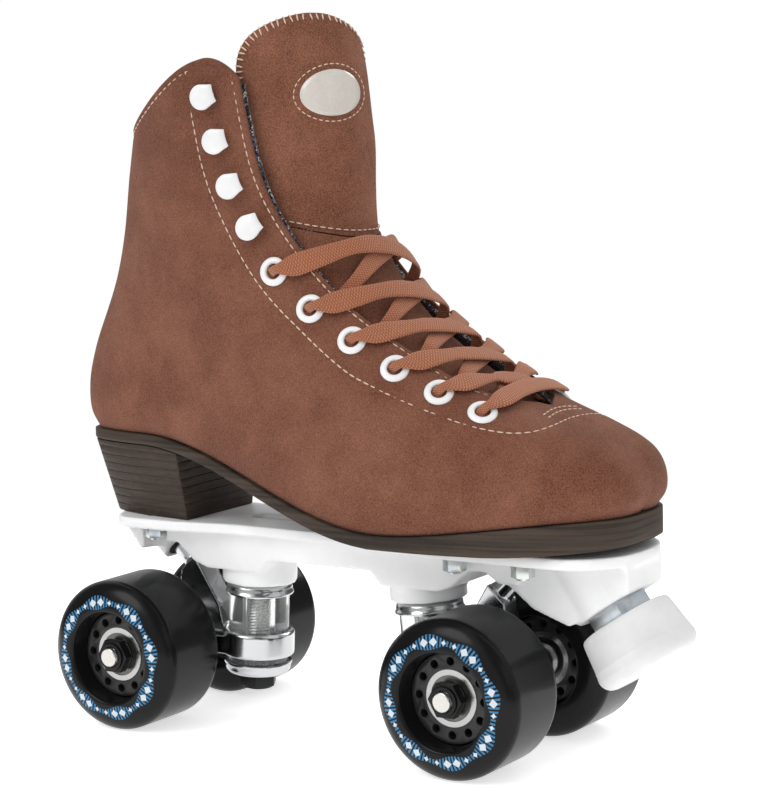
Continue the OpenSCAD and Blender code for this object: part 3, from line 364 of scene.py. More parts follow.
def collar_height(g, w):
    """Height on the face for a row of the upper, whose top row follows the curve of the collar."""
    u = 1 - np.abs(g)
    collar = 0.972 + 0.08 * ease((u - 0.1) / 0.42) - 0.035 * np.clip((u - 0.54) / 0.1, 0, 1) ** 2
    return w + (collar - 1) * ease((w - 0.55) / 0.45)


def toward_edge(share, fine=0.05):
    """Packs the cells of a sheet closer before its edge."""
    return np.where(share < 0.84, share / 0.84 * (1 - fine), 1 - fine + (share - 0.84) / 0.16 * fine)


def laid_sheet(across, along, place):
    """A sheet of cells with each point laid where place puts its two shares."""
    bm = bmesh.new()
    bmesh.ops.create_grid(bm, x_segments=across, y_segments=along, size=0.5)
    shares = np.array([v.co[:2] for v in bm.verts]) + 0.5
    for v, spot in zip(bm.verts, place(shares[:, 0], shares[:, 1])):
        v.co = Vector(spot) * MM
    return bm


def mirrored(bm, joined=True):
    """Adds the left half to a right one, joined to it on the middle line or left apart."""
    bmesh.ops.mirror(bm, geom=bm.verts[:] + bm.edges[:] + bm.faces[:], axis="Y",
                     merge_dist=2e-5 if joined else -1)
    if joined:
        bmesh.ops.remove_doubles(bm, verts=bm.verts, dist=1e-6)
    bmesh.ops.recalc_face_normals(bm, faces=bm.faces)
    return bm


def put(bm, name, material, slot, body, *replaced, crease=40):
    """Makes the finished piece, smooth but for its sharp edges, and rides it on its body if it has one."""
    for face in bm.faces:
        face.smooth = True
    for edge in bm.edges:
        edge.smooth = edge.calc_face_angle(0) < math.radians(crease)
    mesh = bpy.data.meshes.new(name)
    bm.to_mesh(mesh)
    bm.free()
    mesh.materials.append(material)
    piece = bpy.data.objects.new(name, mesh)
    scene.collection.objects.link(piece)
    if body:
        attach(piece, body)
    if replaced:
        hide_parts(*replaced)
    return piece


def thicken(piece, thick, round_off=0.0):
    wall = piece.modifiers.new("wall", "SOLIDIFY")
    wall.thickness = thick * MM
    wall.offset = -1
    wall.use_even_offset = False
    if round_off:
        edge = piece.modifiers.new("edge", "BEVEL")
        edge.width = round_off * MM
        edge.segments = 3
        edge.limit_method = "ANGLE"
        edge.angle_limit = math.radians(55)


def suede_finish(name, dark, light, nap_size, nap_depth):
    """Napped leather: soft clouds where the nap lies over, a short fibrous nap, and a faint sheen."""
    material, place, shader = finish(name, Sheen_Weight=0.1, Sheen_Roughness=0.45, Specular_IOR_Level=0.12,
                                     Sheen_Tint=(1.0, 0.86, 0.76, 1))
    clouds = place.noise(40, 4, 0.6)
    nap = place.noise(1 / nap_size, 4, 0.65)
    fibres = place.noise(2.3 / nap_size, 3, 0.6)
    shade = 0.3 * clouds.rise(0.3, 0.7) + 0.45 * nap.rise(0.4, 0.6) + 0.25 * fibres.rise(0.4, 0.6)
    shade.between(dark, light).to(shader, "Base Color")
    (0.86 + 0.12 * nap).to(shader, "Roughness")
    (0.5 * nap + 0.5 * fibres).bump(0.9, nap_depth).to(shader, "Normal")
    return material


def steps_along(points):
    """How far each point lies along the row of points."""
    return np.concatenate([[0], np.cumsum(np.linalg.norm(np.diff(points, axis=0), axis=1))])


def line_on_boot(stops, count=160):
    """A smooth line through stops of girth share u and height v, on the right side."""
    stops = np.array(stops, float)
    steps = steps_along(stops)
    places = np.linspace(0, steps[-1], count)
    u, v = np.interp(places, steps, stops[:, 0]), np.interp(places, steps, stops[:, 1])
    for _ in range(6):
        u[1:-1] = (u[:-2] + 2 * u[1:-1] + u[2:]) / 4
        v[1:-1] = (v[:-2] + 2 * v[1:-1] + v[2:]) / 4
    return u - 1, v


facing_line = line_on_boot([
    (0.487, 1.047), (0.491, 0.987), (0.510, 0.921), (0.541, 0.839), (0.569, 0.744), (0.603, 0.645),
    (0.635, 0.534), (0.683, 0.471), (0.716, 0.432), (0.746, 0.398), (0.79, 0.379), (0.82, 0.381),
    (0.85, 0.39), (0.88, 0.406), (0.92, 0.4245), (0.955, 0.438), (0.98, 0.444), (1.0, 0.4455)])
foot_lines = [line_on_boot([(0.935, 0.456 + rise), (0.965, 0.468 + rise), (0.985, 0.473 + rise),
                            (1.0, 0.4745 + rise)], 30) for rise in (0.0, 0.012)]
throat_margin, collar_margin = 3.4, 3.2
throat_rows = np.linspace(0.53, 0.985, 150)
throat_girth = -throat(throat_rows) - throat_margin / run_g(-throat(throat_rows), throat_rows)
throat_line = throat_girth, collar_height(throat_girth, throat_rows)
collar_girth = np.linspace(-1, -0.375, 150)
collar_line = collar_girth, collar_height(collar_girth, 1.0) - collar_margin / run_v(collar_girth, 0.97)
sewn_lines = facing_line, throat_line, collar_line, *foot_lines
stitch_dent, seam_dent, wave_deep = 0.42, 0.7, 0.3
counter_high, puff_high = 2.0, 3.2
edge_roll, roll_deep, bead_high, bead_in, bead_wide = 1.4, 1.0, 0.35, 1.7, 1.2


def near_line(spots, line, reach):
    """How near each spot is to a sewn line: 1 on it, fading to 0 past its reach."""
    gap = np.full(len(spots), 1e9)
    for point in skin(*line)[::2]:
        gap = np.minimum(gap, ((spots - point) ** 2).sum(1))
    return np.exp(-gap / reach ** 2)


def fullness(g, v):
    """How far the lasted leather stands out over the counter of the heel and the puff of the toe."""
    counter = counter_high * np.exp(-((v - 0.42) / 0.17) ** 2) * (1 - ease((g + 1) / 0.16))
    return counter + puff_high * np.exp(-((v - 0.235) / 0.15) ** 2) * ease((g + 0.26) / 0.24)


def upper_place(s, w):
    """A spot of the upper: its edge rolls over, its face waves a little, and its seams draw it in."""
    s, w = toward_edge(s), toward_edge(w, 0.03)
    g = -1 + s * (1 - throat(w))
    v = collar_height(g, w)
    spots = skin(g, v)
    x, z = spots[:, 0], spots[:, 2]
    to_throat = np.where(w > throat_foot, (-g - throat(w)) * run_g(g, v), np.inf)
    edge = np.minimum(to_throat, (1 - w) * run_v(g, v))
    roll = np.clip(1 - edge / edge_roll, 0, 1)
    off = bead_high * np.exp(-((edge - bead_in) / bead_wide) ** 2) - roll_deep * (1 - np.sqrt(1 - roll ** 2))
    waves = np.sin(x / 19 + 1.3 * np.sin(z / 31)) * np.sin(z / 23 + 0.8 * np.sin(x / 37))
    off += wave_deep * waves * ease(w / 0.2) + fullness(g, w)
    off -= seam_dent * np.exp(-(g * run_g(g, v) / 0.9) ** 2) * (w < throat_foot)
    for line in sewn_lines:
        off -= stitch_dent * near_line(spots, line, 1.0)
    return shell(g, v, off)


suede_brown = suede_finish("suede_brown", paint(86, 47, 33), paint(150, 102, 82), 0.00048, 0.0005)
upper = put(mirrored(laid_sheet(88, 116, upper_place)), "suede_upper", suede_brown, "suede", "skate",
            "upper_right", "upper_left", crease=60)
thicken(upper, suede_thick)

# Sewing on the upper: cream thread in short lock stitches, round the facing and the throat, under the collar,
# and in two short rows that hold the foot of the throat.
stitch_long, stitch_space, stitch_sink = 2.5, 0.9, 0.22
thread_cream, place, shader = finish("thread_cream", Roughness=0.75, Sheen_Weight=0.2)
twist = place.noise(1900, 2)
twist.between(paint(194, 160, 136), paint(232, 210, 190)).to(shader, "Base Color")
twist.bump(0.5, 0.0002).to(shader, "Normal")


def lay_thread(bm, first, last, up, width, lift=0.0):
    """One stitch: a round strand of thread from first to last, raised by lift."""
    way = Vector(last - first)
    up = Vector(up)
    side = up.cross(way).normalized()
    up = way.cross(side).normalized()
    turn = Matrix((way / 2 * 1.06, side * width, up * width * 0.8)).transposed().to_4x4()
    centre = Vector((first + last) / 2) + up * lift
    bmesh.ops.create_uvsphere(bm, u_segments=8, v_segments=6, radius=1,
                              matrix=Matrix.Scale(MM, 4) @ Matrix.Translation(centre) @ turn
                              @ Matrix.Rotation(math.pi / 2, 4, "Y"))


def sew(bm, spots, ups, length, space, width=0.31):
    """Lays one stitch after another along a row of spots."""
    steps = steps_along(spots)

    def at(rows, place):
        return np.array([np.interp(place, steps, rows[:, axis]) for axis in range(3)])

    count = max(1, round(steps[-1] / (length + space)))
    for middle in (np.arange(count) + 0.5) * steps[-1] / count:
        lay_thread(bm, at(spots, middle - length / 2), at(spots, middle + length / 2), at(ups, middle), width)


bm = bmesh.new()
for line in sewn_lines:
    sew(bm, shell(*line, fullness(*line) - stitch_sink), outward(*line), stitch_long, stitch_space)
put(mirrored(bm, joined=False), "upper_stitches", thread_cream, "suede", "skate", crease=180)

# Lining: a speckled knit glued inside the upper, from the sole to the collar. It is turned out as a thin lip
# along the edge of the throat.
lining_top = -suede_thick - layer_gap
lining_low = lining_top - lining_thick
lip, fleck_scale = 0.9, 1500.0


def lining_place(s, w):
    w = mix(0.07, 0.992, w)
    wide = throat(w)
    g = mix(-0.999, -np.maximum(wide - lip / run_g(-wide, w), 0.001), toward_edge(s))
    return shell(g, collar_height(g, w), np.full(len(g), lining_top + 0.2))


lining_knit, place, shader = finish("lining_knit", Roughness=0.9, Sheen_Weight=0.25)
flecks = place.node("TexVoronoi", {}, {"Vector": place, "Scale": fleck_scale}, "Color").parts()[0]
flecks.node("ValToRGB", {"steps": "CONSTANT", "stops": [
    (0.0, paint(22, 22, 26)), (0.42, paint(58, 54, 70)), (0.56, paint(104, 92, 136)),
    (0.66, paint(120, 118, 118)), (0.8, paint(196, 194, 190)), (0.92, paint(30, 28, 34))]},
    {"Fac": flecks}).to(shader, "Base Color")
stitch_gap = place.node("TexVoronoi", {}, {"Vector": place, "Scale": fleck_scale}, "Distance")
stitch_gap.bump(0.8, 0.0005).to(shader, "Normal")
bm = mirrored(laid_sheet(56, 60, lining_place), joined=False)
lining = put(bm, "knit_lining", lining_knit, "lining_cloth", "skate", "lining", crease=60)
thicken(lining, lining_thick, round_off=0.3)

# Tongue: a flap of suede that lies under the lace, and a padded top sewn on above it with a turned seam. The
# top is stuffed: it is blown up as cloth that is held at its rim, at the seam and under the badge.
lace_thick = 1.5
under_lace = lining_low - 0.55 - lace_thick / 2
tongue_depth = under_lace - lace_thick / 2 - 0.8
tongue_foot, tongue_seam, tongue_tip, tongue_end = 0.39, 0.847, 0.985, 1.06
flap_thick, pad_thick = 3.0, 5.0
pad_slide, pad_narrow = -0.09, 0.72


def tongue_half(v):
    tip = np.clip((v - tongue_tip) / (tongue_end + 0.0005 - tongue_tip), 0, 1)
    return (0.27 + 0.14 * ease((v - tongue_foot) / 0.45)) * np.sqrt(np.maximum(0, 1 - tip ** 2))


def tongue_off(g, v):
    """How far the tongue stands off the boot's face: inside it at the foot, ahead of it at the top."""
    front = 10.1 * ease((v - 0.82) / 0.13) + 2 * ease((v - 0.95) / 0.12)
    return (tongue_depth + front * (1 - ease(np.abs(g) / 0.36))
            + (lining_low - 0.3 - tongue_depth) * (1 - ease((v - tongue_foot) / 0.07)))


def tongue_skin(g, v, lift=0.0):
    return shell(g, v, tongue_off(g, v) + lift)


def tongue_face(s, v, lift=0.0):
    """Spots on the tongue, with s from its right edge (-1) to its left one (1)."""
    return tongue_skin(s * tongue_half(v), v, lift)


suede_tongue = suede_finish("suede_tongue", paint(86, 50, 36), paint(166, 112, 89), 0.0005, 0.0006)
bm = laid_sheet(40, 70, lambda s, t: tongue_face(2 * s - 1, mix(tongue_foot, tongue_seam - 0.001, t)))
bmesh.ops.recalc_face_normals(bm, faces=bm.faces)
tongue = put(bm, "tongue_flap", suede_tongue, "suede", "skate", "tongue")
thicken(tongue, flap_thick, round_off=0.6)


def pad_g(s, v):
    """Girth on the padded top, which narrows above the seam and lies over a little to the right."""
    slide = ease((v - 0.86) / 0.12)
    return s * tongue_half(v) * mix(1, pad_narrow, slide) + pad_slide * slide


def pad_face(s, v, lift):
    g = pad_g(s, v)
    return tongue_skin(g, v + (0.008 - 0.12 * (g - pad_slide)) * ease((v - 0.88) / 0.18), lift)


def tongue_top_place(s, t):
    v = mix(tongue_seam + 0.001, tongue_end, np.sin(np.pi / 2 * t))
    s = 2 * s - 1
    from_seam = ease((v - tongue_seam) / 0.02)
    puff = 0.7 * from_seam * (1 - np.abs(s) ** 8)
    fold = 0.35 * np.sin(9 * v * 6.3 + 2.5 * s) * (1 - ease((v - 0.86) / 0.06)) * from_seam
    return pad_face(s, v, puff - 0.5 + fold)


bm = laid_sheet(44, 60, tongue_top_place)
bmesh.ops.remove_doubles(bm, verts=bm.verts, dist=1e-6)
bmesh.ops.recalc_face_normals(bm, faces=bm.faces)
tongue_top = put(bm, "tongue_pad", suede_tongue, "suede", "skate", "tongue_top")
thicken(tongue_top, pad_thick, round_off=1.6)
edge_v = mix(0.968, tongue_end, 1 - (1 - np.linspace(0, 1, 200)) ** 2)
rim_v = np.concatenate([edge_v, np.full(60, tongue_end), edge_v[:60:-1]])
rim_side = np.concatenate([np.full(200, -1), np.linspace(-1, 1, 60), np.full(139, 1)])
rim_spots = pad_face(rim_side, rim_v, -0.4)
seam_side = np.linspace(-0.97, 0.97, 120)
seam_spots = tongue_face(seam_side, np.full(120, tongue_seam + 0.0065), 0.15)
badge_g, badge_v = pad_slide, 0.9865
badge_at = tongue_skin(badge_g, badge_v)
rim_held, seam_held, badge_held, most_swell = 5, 4, 17, 1.8
pad_pressure, pad_steps = 4, 20


def sewn_down(spot):
    return (np.linalg.norm(rim_spots - spot, axis=1).min() < rim_held
            or np.linalg.norm(seam_spots - spot, axis=1).min() < seam_held
            or np.linalg.norm(badge_at - spot) < badge_held)


def swell(piece):
    """Blows the sewn pad up as cloth that is held where it is sewn, and keeps the shape it takes."""
    bpy.context.view_layer.update()
    mesh = bpy.data.meshes.new_from_object(piece.evaluated_get(bpy.context.evaluated_depsgraph_get()))
    piece.modifiers.clear()
    piece.data = mesh
    start = np.array([v.co for v in mesh.vertices])
    held = piece.vertex_groups.new(name="held")
    held.add([i for i, spot in enumerate(start / MM) if sewn_down(spot)], 1.0, "REPLACE")
    cloth = piece.modifiers.new("cloth", "CLOTH")
    cloth.settings.vertex_group_mass = "held"
    cloth.settings.use_pressure = True
    cloth.settings.uniform_pressure_force = pad_pressure
    cloth.settings.effector_weights.gravity = 0
    for step in range(1, pad_steps + 1):
        scene.frame_set(step)
    blown = piece.evaluated_get(bpy.context.evaluated_depsgraph_get()).data
    move = np.array([v.co for v in blown.vertices]) - start
    piece.modifiers.remove(cloth)
    piece.vertex_groups.remove(held)
    scene.frame_set(1)
    far = np.maximum(np.linalg.norm(move, axis=1, keepdims=True), 1e-12)
    for v, spot in zip(mesh.vertices, start + move / far * np.minimum(far, most_swell * MM)):
        v.co = spot


swell(tongue_top)

# Sewing on the tongue: a straight row of lock stitches across its seam, and slanting whip stitches of the
# same cream thread that bind the edge of its top.
whip_pitch, whip_reach, whip_width, whip_drop = 2.6, 3.3, 0.36, 4.4
bm = bmesh.new()
seam_ups = outward(seam_side * tongue_half(tongue_seam), np.full(120, tongue_seam))
sew(bm, seam_spots, seam_ups, length=2.3, space=0.8)
rim_steps = steps_along(rim_spots)
for at in np.arange(1.0, rim_steps[-1] - 1, whip_pitch):
    k = int(np.clip(np.searchsorted(rim_steps, at), 1, len(rim_side) - 2))
    lean = 0.5 * math.sin(at * 1.7)
    way = unit(rim_spots[k + 1] - rim_spots[k - 1])
    up = outward(pad_g(rim_side[k], rim_v[k]), rim_v[k])
    inward = unit(np.cross(way, up))
    outer = rim_spots[k] - 0.1 * inward
    inner = rim_spots[k] + whip_reach * inward + lean * way + 0.9 * up
    lay_thread(bm, outer, inner, up, whip_width, lift=0.3)
    lay_thread(bm, outer - whip_drop * up, outer, -inward, whip_width, lift=0.2)
put(bm, "tongue_stitches", thread_cream, "suede", "skate", crease=180)

# Badge: a plain oval of pale domed resin, let into the tongue's top and sewn round with a ring of fine
# stitches.
badge_wide, badge_tall, badge_margin = 26.0, 18.5, 1.9
badge_side = unit(tongue_skin(badge_g + 0.01, badge_v) - tongue_skin(badge_g - 0.01, badge_v))
badge_rise = tongue_skin(badge_g, badge_v + 0.01) - tongue_skin(badge_g, badge_v - 0.01)
badge_out = unit(np.cross(badge_side, badge_rise))
badge_head = np.cross(badge_out, badge_side)


def badge_spot(x, y, lift):
    """Spots on the tongue that lie under x and y in the flat of the badge, found in a few steps."""
    g, v = np.full_like(x, badge_g), np.full_like(x, badge_v)
    for _ in range(8):
        here = tongue_skin(g, v)
        by_g = (tongue_skin(g + 0.001, v) - here) * 1000
        by_v = (tongue_skin(g, v + 0.001) - here) * 1000
        short_x = x - (here - badge_at) @ badge_side
        short_y = y - (here - badge_at) @ badge_head
        turn = (by_g @ badge_side) * (by_v @ badge_head) - (by_v @ badge_side) * (by_g @ badge_head)
        g = g + (short_x * (by_v @ badge_head) - short_y * (by_v @ badge_side)) / turn
        v = v + (short_y * (by_g @ badge_side) - short_x * (by_g @ badge_head)) / turn
    return tongue_skin(g, v) + np.asarray(lift)[..., None] * badge_out


badge_resin, place, shader = finish("badge_resin", Roughness=0.28, Coat_Weight=0.6, Coat_Roughness=0.08)
cast = place.noise(900, 3).rise(0.2, 0.8)
cast.between(paint(203, 196, 187), paint(211, 205, 197)).to(shader, "Base Color")
place.noise(60, 2).bump(0.1, 0.0003).to(shader, "Normal")
bm = bmesh.new()
bmesh.ops.create_circle(bm, cap_ends=True, segments=64, radius=1)
bmesh.ops.inset_region(bm, faces=bm.faces[:], use_boundary=True, thickness=0.06, depth=0.0)
for _ in range(5):
    middle_face = max(bm.faces, key=lambda face: len(face.verts))
    bmesh.ops.inset_region(bm, faces=[middle_face], thickness=0.16, depth=0.0)
flat = np.array([v.co[:2] for v in bm.verts])
out_share = np.minimum(1, np.hypot(flat[:, 0], flat[:, 1]))
dome = np.where(out_share > 0.985, -0.25, 0.95 + 0.55 * (1 - out_share ** 2))
for v, spot in zip(bm.verts, badge_spot(flat[:, 0] * badge_wide / 2, flat[:, 1] * badge_tall / 2, dome)):
    v.co = Vector(spot) * MM
bmesh.ops.recalc_face_normals(bm, faces=bm.faces)
put(bm, "oval_badge", badge_resin, "badge", "skate", "tongue_badge", crease=180)
bm = bmesh.new()
badge_turn = np.linspace(0, 2 * np.pi, 160)
badge_ring = badge_spot((badge_wide / 2 + badge_margin) * np.cos(badge_turn),
                        (badge_tall / 2 + badge_margin) * np.sin(badge_turn), 0.3)
sew(bm, badge_ring, np.tile(badge_out, (160, 1)), length=1.7, space=0.75, width=0.27)
put(bm, "badge_stitches", thread_cream, "suede", "skate", crease=180)

# Eyelets: pressed steel rings in white enamel, six to a side. Each is pushed through the upper and its lining
# and rolled over the edges of its hole.
eyelet_bore, eyelet_high, eyelet_count = 6.0, 1.3, 6


def eyelet_at(i):
    return np.array([0.378, 0.769]) + i * np.array([-0.0366, -0.0608])


def spun(profile, centre, axis, steps=48):
    """A turned piece: a profile of radius and height, spun round an axis through its centre."""
    bm = bmesh.new()
    verts = [bm.verts.new((r * MM, 0, h * MM)) for r, h in profile]
    edges = [bm.edges.new(pair) for pair in zip(verts, verts[1:])]
    bmesh.ops.spin(bm, geom=verts + edges, cent=(0, 0, 0), axis=(0, 0, 1), angle=2 * math.pi, steps=steps,
                   use_merge=True)
    bmesh.ops.remove_doubles(bm, verts=bm.verts, dist=1e-7)
    bmesh.ops.recalc_face_normals(bm, faces=bm.faces)
    turn = Vector((0, 0, 1)).rotation_difference(Vector(axis)).to_matrix().to_4x4()
    bmesh.ops.transform(bm, matrix=Matrix.Translation(Vector(centre) * MM) @ turn, verts=bm.verts)
    return bm


def gather(bm, other):
    """Adds the shapes of other to bm."""
    mesh = bpy.data.meshes.new("part")
    other.to_mesh(mesh)
    other.free()
    bm.from_mesh(mesh)
    bpy.data.meshes.remove(mesh)


white_enamel, place, shader = finish("white_enamel", Roughness=0.3, Coat_Weight=0.3, Coat_Roughness=0.12)
place.noise(160, 4).between(paint(226, 226, 226), paint(246, 246, 247)).to(shader, "Base Color")
place.noise(700, 2).bump(0.12, 0.0003).to(shader, "Normal")
eyelet_profile = [(3.0, lining_low), (3.0, 0.6), (3.12, 1.0), (3.45, 1.28), (3.95, 1.38), (4.6, 1.3),
                  (5.2, 1.05), (5.6, 0.65), (5.75, 0.2), (5.6, 0.05), (3.6, 0.05), (3.6, lining_low),
                  (3.0, lining_low)]
bm = bmesh.new()
for i in range(eyelet_count):
    for side in (-1, 1):
        g, v = side * eyelet_at(i)[0], eyelet_at(i)[1]
        gather(bm, spun(eyelet_profile, skin(g, v), outward(g, v), steps=36))
put(bm, "white_eyelets", white_enamel, "white_enamel", "skate", "eyelets", crease=70)

# Speed hooks: enamelled steel like the eyelets, four to a side. Each is a cap with a squared nose, turned
# down towards the throat, on a neck and a riveted foot.
hook_count, cap_r, nose_drop, neck_back = 4, 5.0, 0.8, 2.4
hook_step = np.array([-0.023, -0.0553])


def hook_at(i):
    return np.array([0.461, 1.0]) + i * hook_step


def hook_outline(turn):
    """Outline of a hook's cap: round behind, drawn out in front to a slightly hollow nose."""
    if turn < 36:
        share = turn / 36
        return 5.45 + 0.3 * share ** 2, 3.4 * share
    if turn < 78:
        share = (turn - 36) / 42
        return mix(5.75, 1.04, share), mix(3.4, 4.89, share)
    return cap_r * math.cos(math.radians(turn)), cap_r * math.sin(math.radians(turn))


hook_points = np.array([hook_outline(turn) for turn in range(181)])
hook_angles = np.arctan2(hook_points[:, 1], hook_points[:, 0])
hook_reach = np.hypot(hook_points[:, 0], hook_points[:, 1])
hook_cap = [(0, 4.2), (0.35, 4.18), (0.62, 4.1), (0.8, 3.98), (0.9, 3.84), (0.97, 3.62), (1.0, 3.35),
            (1.0, 3.2), (0.97, 3.1), (0, 3.1)]
hook_foot = [(0, 0.1), (4.2, 0.1), (4.2, 0.9), (3.9, 1.2), (0, 1.25)]
hook_neck = [(0, 1.0), (1.9, 1.0), (1.6, 2.2), (1.9, 3.5), (0, 3.5)]


def hook(spot, nose, up):
    bm = spun(hook_cap, (0, 0, 0), (0, 0, 1), steps=96)
    for v in bm.verts:
        x, y = v.co.x, v.co.y
        reach = float(np.interp(abs(math.atan2(y, x)), hook_angles, hook_reach))
        v.co.x, v.co.y = x * reach, y * reach
        bend = max(0.0, (v.co.x / MM - 2.8) / 2.9) ** 1.6 + 0.6 * max(0.0, (-v.co.y / MM - 1.6) / 3.4) ** 2
        v.co.z -= nose_drop * bend * MM
    bmesh.ops.recalc_face_normals(bm, faces=bm.faces)
    gather(bm, spun(hook_foot, (0, 0, 0), (0, 0, 1), steps=32))
    gather(bm, spun(hook_neck, (-neck_back, 0, 0), (0, 0, 1), steps=20))
    side = up.cross(nose).normalized()
    turn = Matrix((side.cross(up), side, up)).transposed().to_4x4()
    bmesh.ops.transform(bm, matrix=Matrix.Translation(spot * MM) @ turn, verts=bm.verts)
    return bm


bm = bmesh.new()
for i in range(hook_count):
    for side in (-1, 1):
        g, v = side * hook_at(i)[0], hook_at(i)[1]
        up = Vector(outward(g, v))
        half_g, half_v = -side * hook_step[0] / 2, -0.0277
        row_way = Vector(skin(g + half_g, v - half_v) - skin(g - half_g, v + half_v))
        gather(bm, hook(Vector(skin(g, v)), row_way.cross(up) * -side, up))
put(bm, "white_hooks", white_enamel, "white_enamel", "skate", "lace_hooks", crease=50)

# Lace: one flat woven band, laced criss-cross from hole to hole, its ends tucked behind the top eyelets.
# A stop of its route holds girth, height, lift over the outer face, width and thickness.
lace_wide, lace_bow, last_eye = 9.0, 0.09, eyelet_count - 1
lace_over = lace_thick / 2 + 0.7
lace_high = eyelet_high + lace_thick / 2 + 0.75
hole_wide = eyelet_bore * 0.62
hole_turn = [(-2.8, under_lace), (-0.7, under_lace + 0.45), (0.7, lining_low + 0.6), (1.2, -1.3), (0.7, 0.6),
             (-0.7, eyelet_high + 0.75), (-2.6, lace_high)]


def throat_slope(i):
    return 1.55 * lace_bow / eyelet_at(i)[0]


def throat_run(i):
    """Millimetres for one unit of girth where the lace passes eyelet i."""
    g, v = eyelet_at(i)
    slope = nudge * throat_slope(i)
    return float(np.linalg.norm(skin(g + nudge, v - slope) - skin(g - nudge, v + slope))) / (2 * nudge)


def by_hole(i, side, q, lift, wide):
    """A stop that lies q millimetres outwards from eyelet i."""
    g, v = eyelet_at(i)
    run = throat_run(i)
    return side * (g + q / run), v - throat_slope(i) * q / run, lift, wide, lace_thick


def hole_way(i, side):
    return [by_hole(i, side, q, lift, hole_wide) for q, lift in hole_turn]


def leg_g(i, side, f):
    return side * mix(eyelet_at(i)[0], -eyelet_at(i + 1)[0], f)


def leg_v(i, f):
    return mix(eyelet_at(i)[1], eyelet_at(i + 1)[1], f) + lace_bow * math.sin(math.pi * f)


def on_flap(i, f):
    return abs(leg_g(i, 1, f)) >= float(throat(leg_v(i, f) - 0.02))


def lace_leg(i, side):
    """From eyelet i over its flap, across the throat, and under the other flap to eyelet i + 1."""
    span = eyelet_at(i)[0] + eyelet_at(i + 1)[0]
    mid_f = eyelet_at(i)[0] / span
    off_f = max(f for f in np.arange(0.1, mid_f + 1e-9, 0.02) if on_flap(i, f))
    on_f = min(f for f in np.arange(0.96, mid_f - 1e-9, -0.02) if on_flap(i, f))
    near_f, mm_f = 0.62 * (on_f - mid_f), 1 / (throat_run(i) * span)
    mid = 0.4 if side < 0 else -2.0
    thin = 0.68 if i == last_eye - 1 else 1
    stops = [
        (5 * mm_f, lace_high, 0.65),
        (9.5 * mm_f, lace_over + 0.5, 1),
        (max(off_f, 11 * mm_f) + 2.5 * mm_f, lace_over, 0.95),
        (mid_f - near_f, mix(lace_over, mid, 0.9), 0.75 * thin),
        (mid_f - near_f / 2, mid, 0.85),
        (mid_f, mid, 0.9),
        (mid_f + near_f / 2, mid, 0.8),
        (mid_f + near_f, mid - 0.1, 0.65 * thin),
        (on_f - 0.02, under_lace + 0.2, 0.65 * thin),
        (mix(on_f, 1 - 5 * mm_f, 0.5), under_lace, 0.7),
        (1 - 5 * mm_f, under_lace, 0.55)]
    return [(leg_g(i, side, f), leg_v(i, f), lift, lace_wide * wide, lace_thick) for f, lift, wide in stops]


def lace_bar(i, side):
    """Straight across the foot of the throat, over both flaps."""
    g, v = eyelet_at(i)
    mm_f = 1 / (throat_run(i) * 2 * g)
    stops = []
    for f in (5 * mm_f, 9.5 * mm_f, 0.35, 0.5, 0.65, 1 - 9.5 * mm_f, 1 - 5 * mm_f):
        from_end = min(f, 1 - f)
        lift = lace_over + 0.9 if from_end > 0.3 else lace_high
        wide = 0.65 if from_end < 5 * mm_f + 0.01 else 0.95
        stops.append((side * g * (1 - 2 * f), v + lace_bow * 0.9 * math.sin(math.pi * f), lift,
                      lace_wide * wide, lace_thick))
    return stops


def lace_end(side):
    return [by_hole(0, side, q, under_lace, wide) for q, wide in (
        (16, lace_wide * 0.8), (10, lace_wide * 0.8), (5, hole_wide), (2.6, hole_wide))]


def side_of(i, side):
    return side if i % 2 == 0 else -side


def way_down(side):
    stops = []
    for i in range(eyelet_count):
        stops += hole_way(i, side_of(i, side))[2 if i == 0 else 0:]
        if i < last_eye:
            stops += lace_leg(i, side_of(i, side))
    return stops


def flowing(values, cuts):
    """Values at even cuts between the stops, on a smooth curve through them."""
    padded = np.concatenate([[2 * values[0] - values[1]], values, [2 * values[-1] - values[-2]]])
    rows = []
    for a, b, c, d in zip(padded, padded[1:], padded[2:], padded[3:]):
        rows += [curve(a, b, c, d, f) for f in np.arange(cuts) / cuts]
    return np.array(rows + [values[-1]])


lace_route = np.array(lace_end(1) + way_down(1) + lace_bar(last_eye, side_of(last_eye, 1))
                      + way_down(-1)[::-1] + lace_end(-1)[::-1])
lace_line = flowing(shell(lace_route[:, 0], lace_route[:, 1], lace_route[:, 2]), 4)
lace_face = unit(flowing(outward(lace_route[:, 0], lace_route[:, 1]), 4))
lace_size = flowing(lace_route[:, 3:], 4)
lace_way = unit(np.gradient(lace_line, axis=0))
lace_up = unit(np.stack([-lace_face[:, 2], np.zeros(len(lace_face)), lace_face[:, 0]], -1))
lace_side = unit(lace_up - (lace_up * lace_way).sum(1, keepdims=True) * lace_way)
for _ in range(3):
    lace_side[1:-1] = unit(lace_side[:-2] + 2 * lace_side[1:-1] + lace_side[2:])
lace_front = np.cross(lace_way, lace_side)
lace_steps = steps_along(lace_line)
band_round = 20
band_turn = np.arange(band_round + 1) / band_round * 2 * np.pi
band_x = np.sign(np.cos(band_turn)) * np.abs(np.cos(band_turn)) ** 0.55
band_y = np.sign(np.sin(band_turn)) * np.abs(np.sin(band_turn)) ** 0.75


def lace_place(s, t):
    k = np.rint(t * (len(lace_line) - 1)).astype(int)
    q = np.rint(s * band_round).astype(int)
    return (lace_line[k] + lace_side[k] * (band_x[q] * lace_size[k, 0] / 2)[:, None]
            + lace_front[k] * (band_y[q] * lace_size[k, 1] / 2)[:, None])


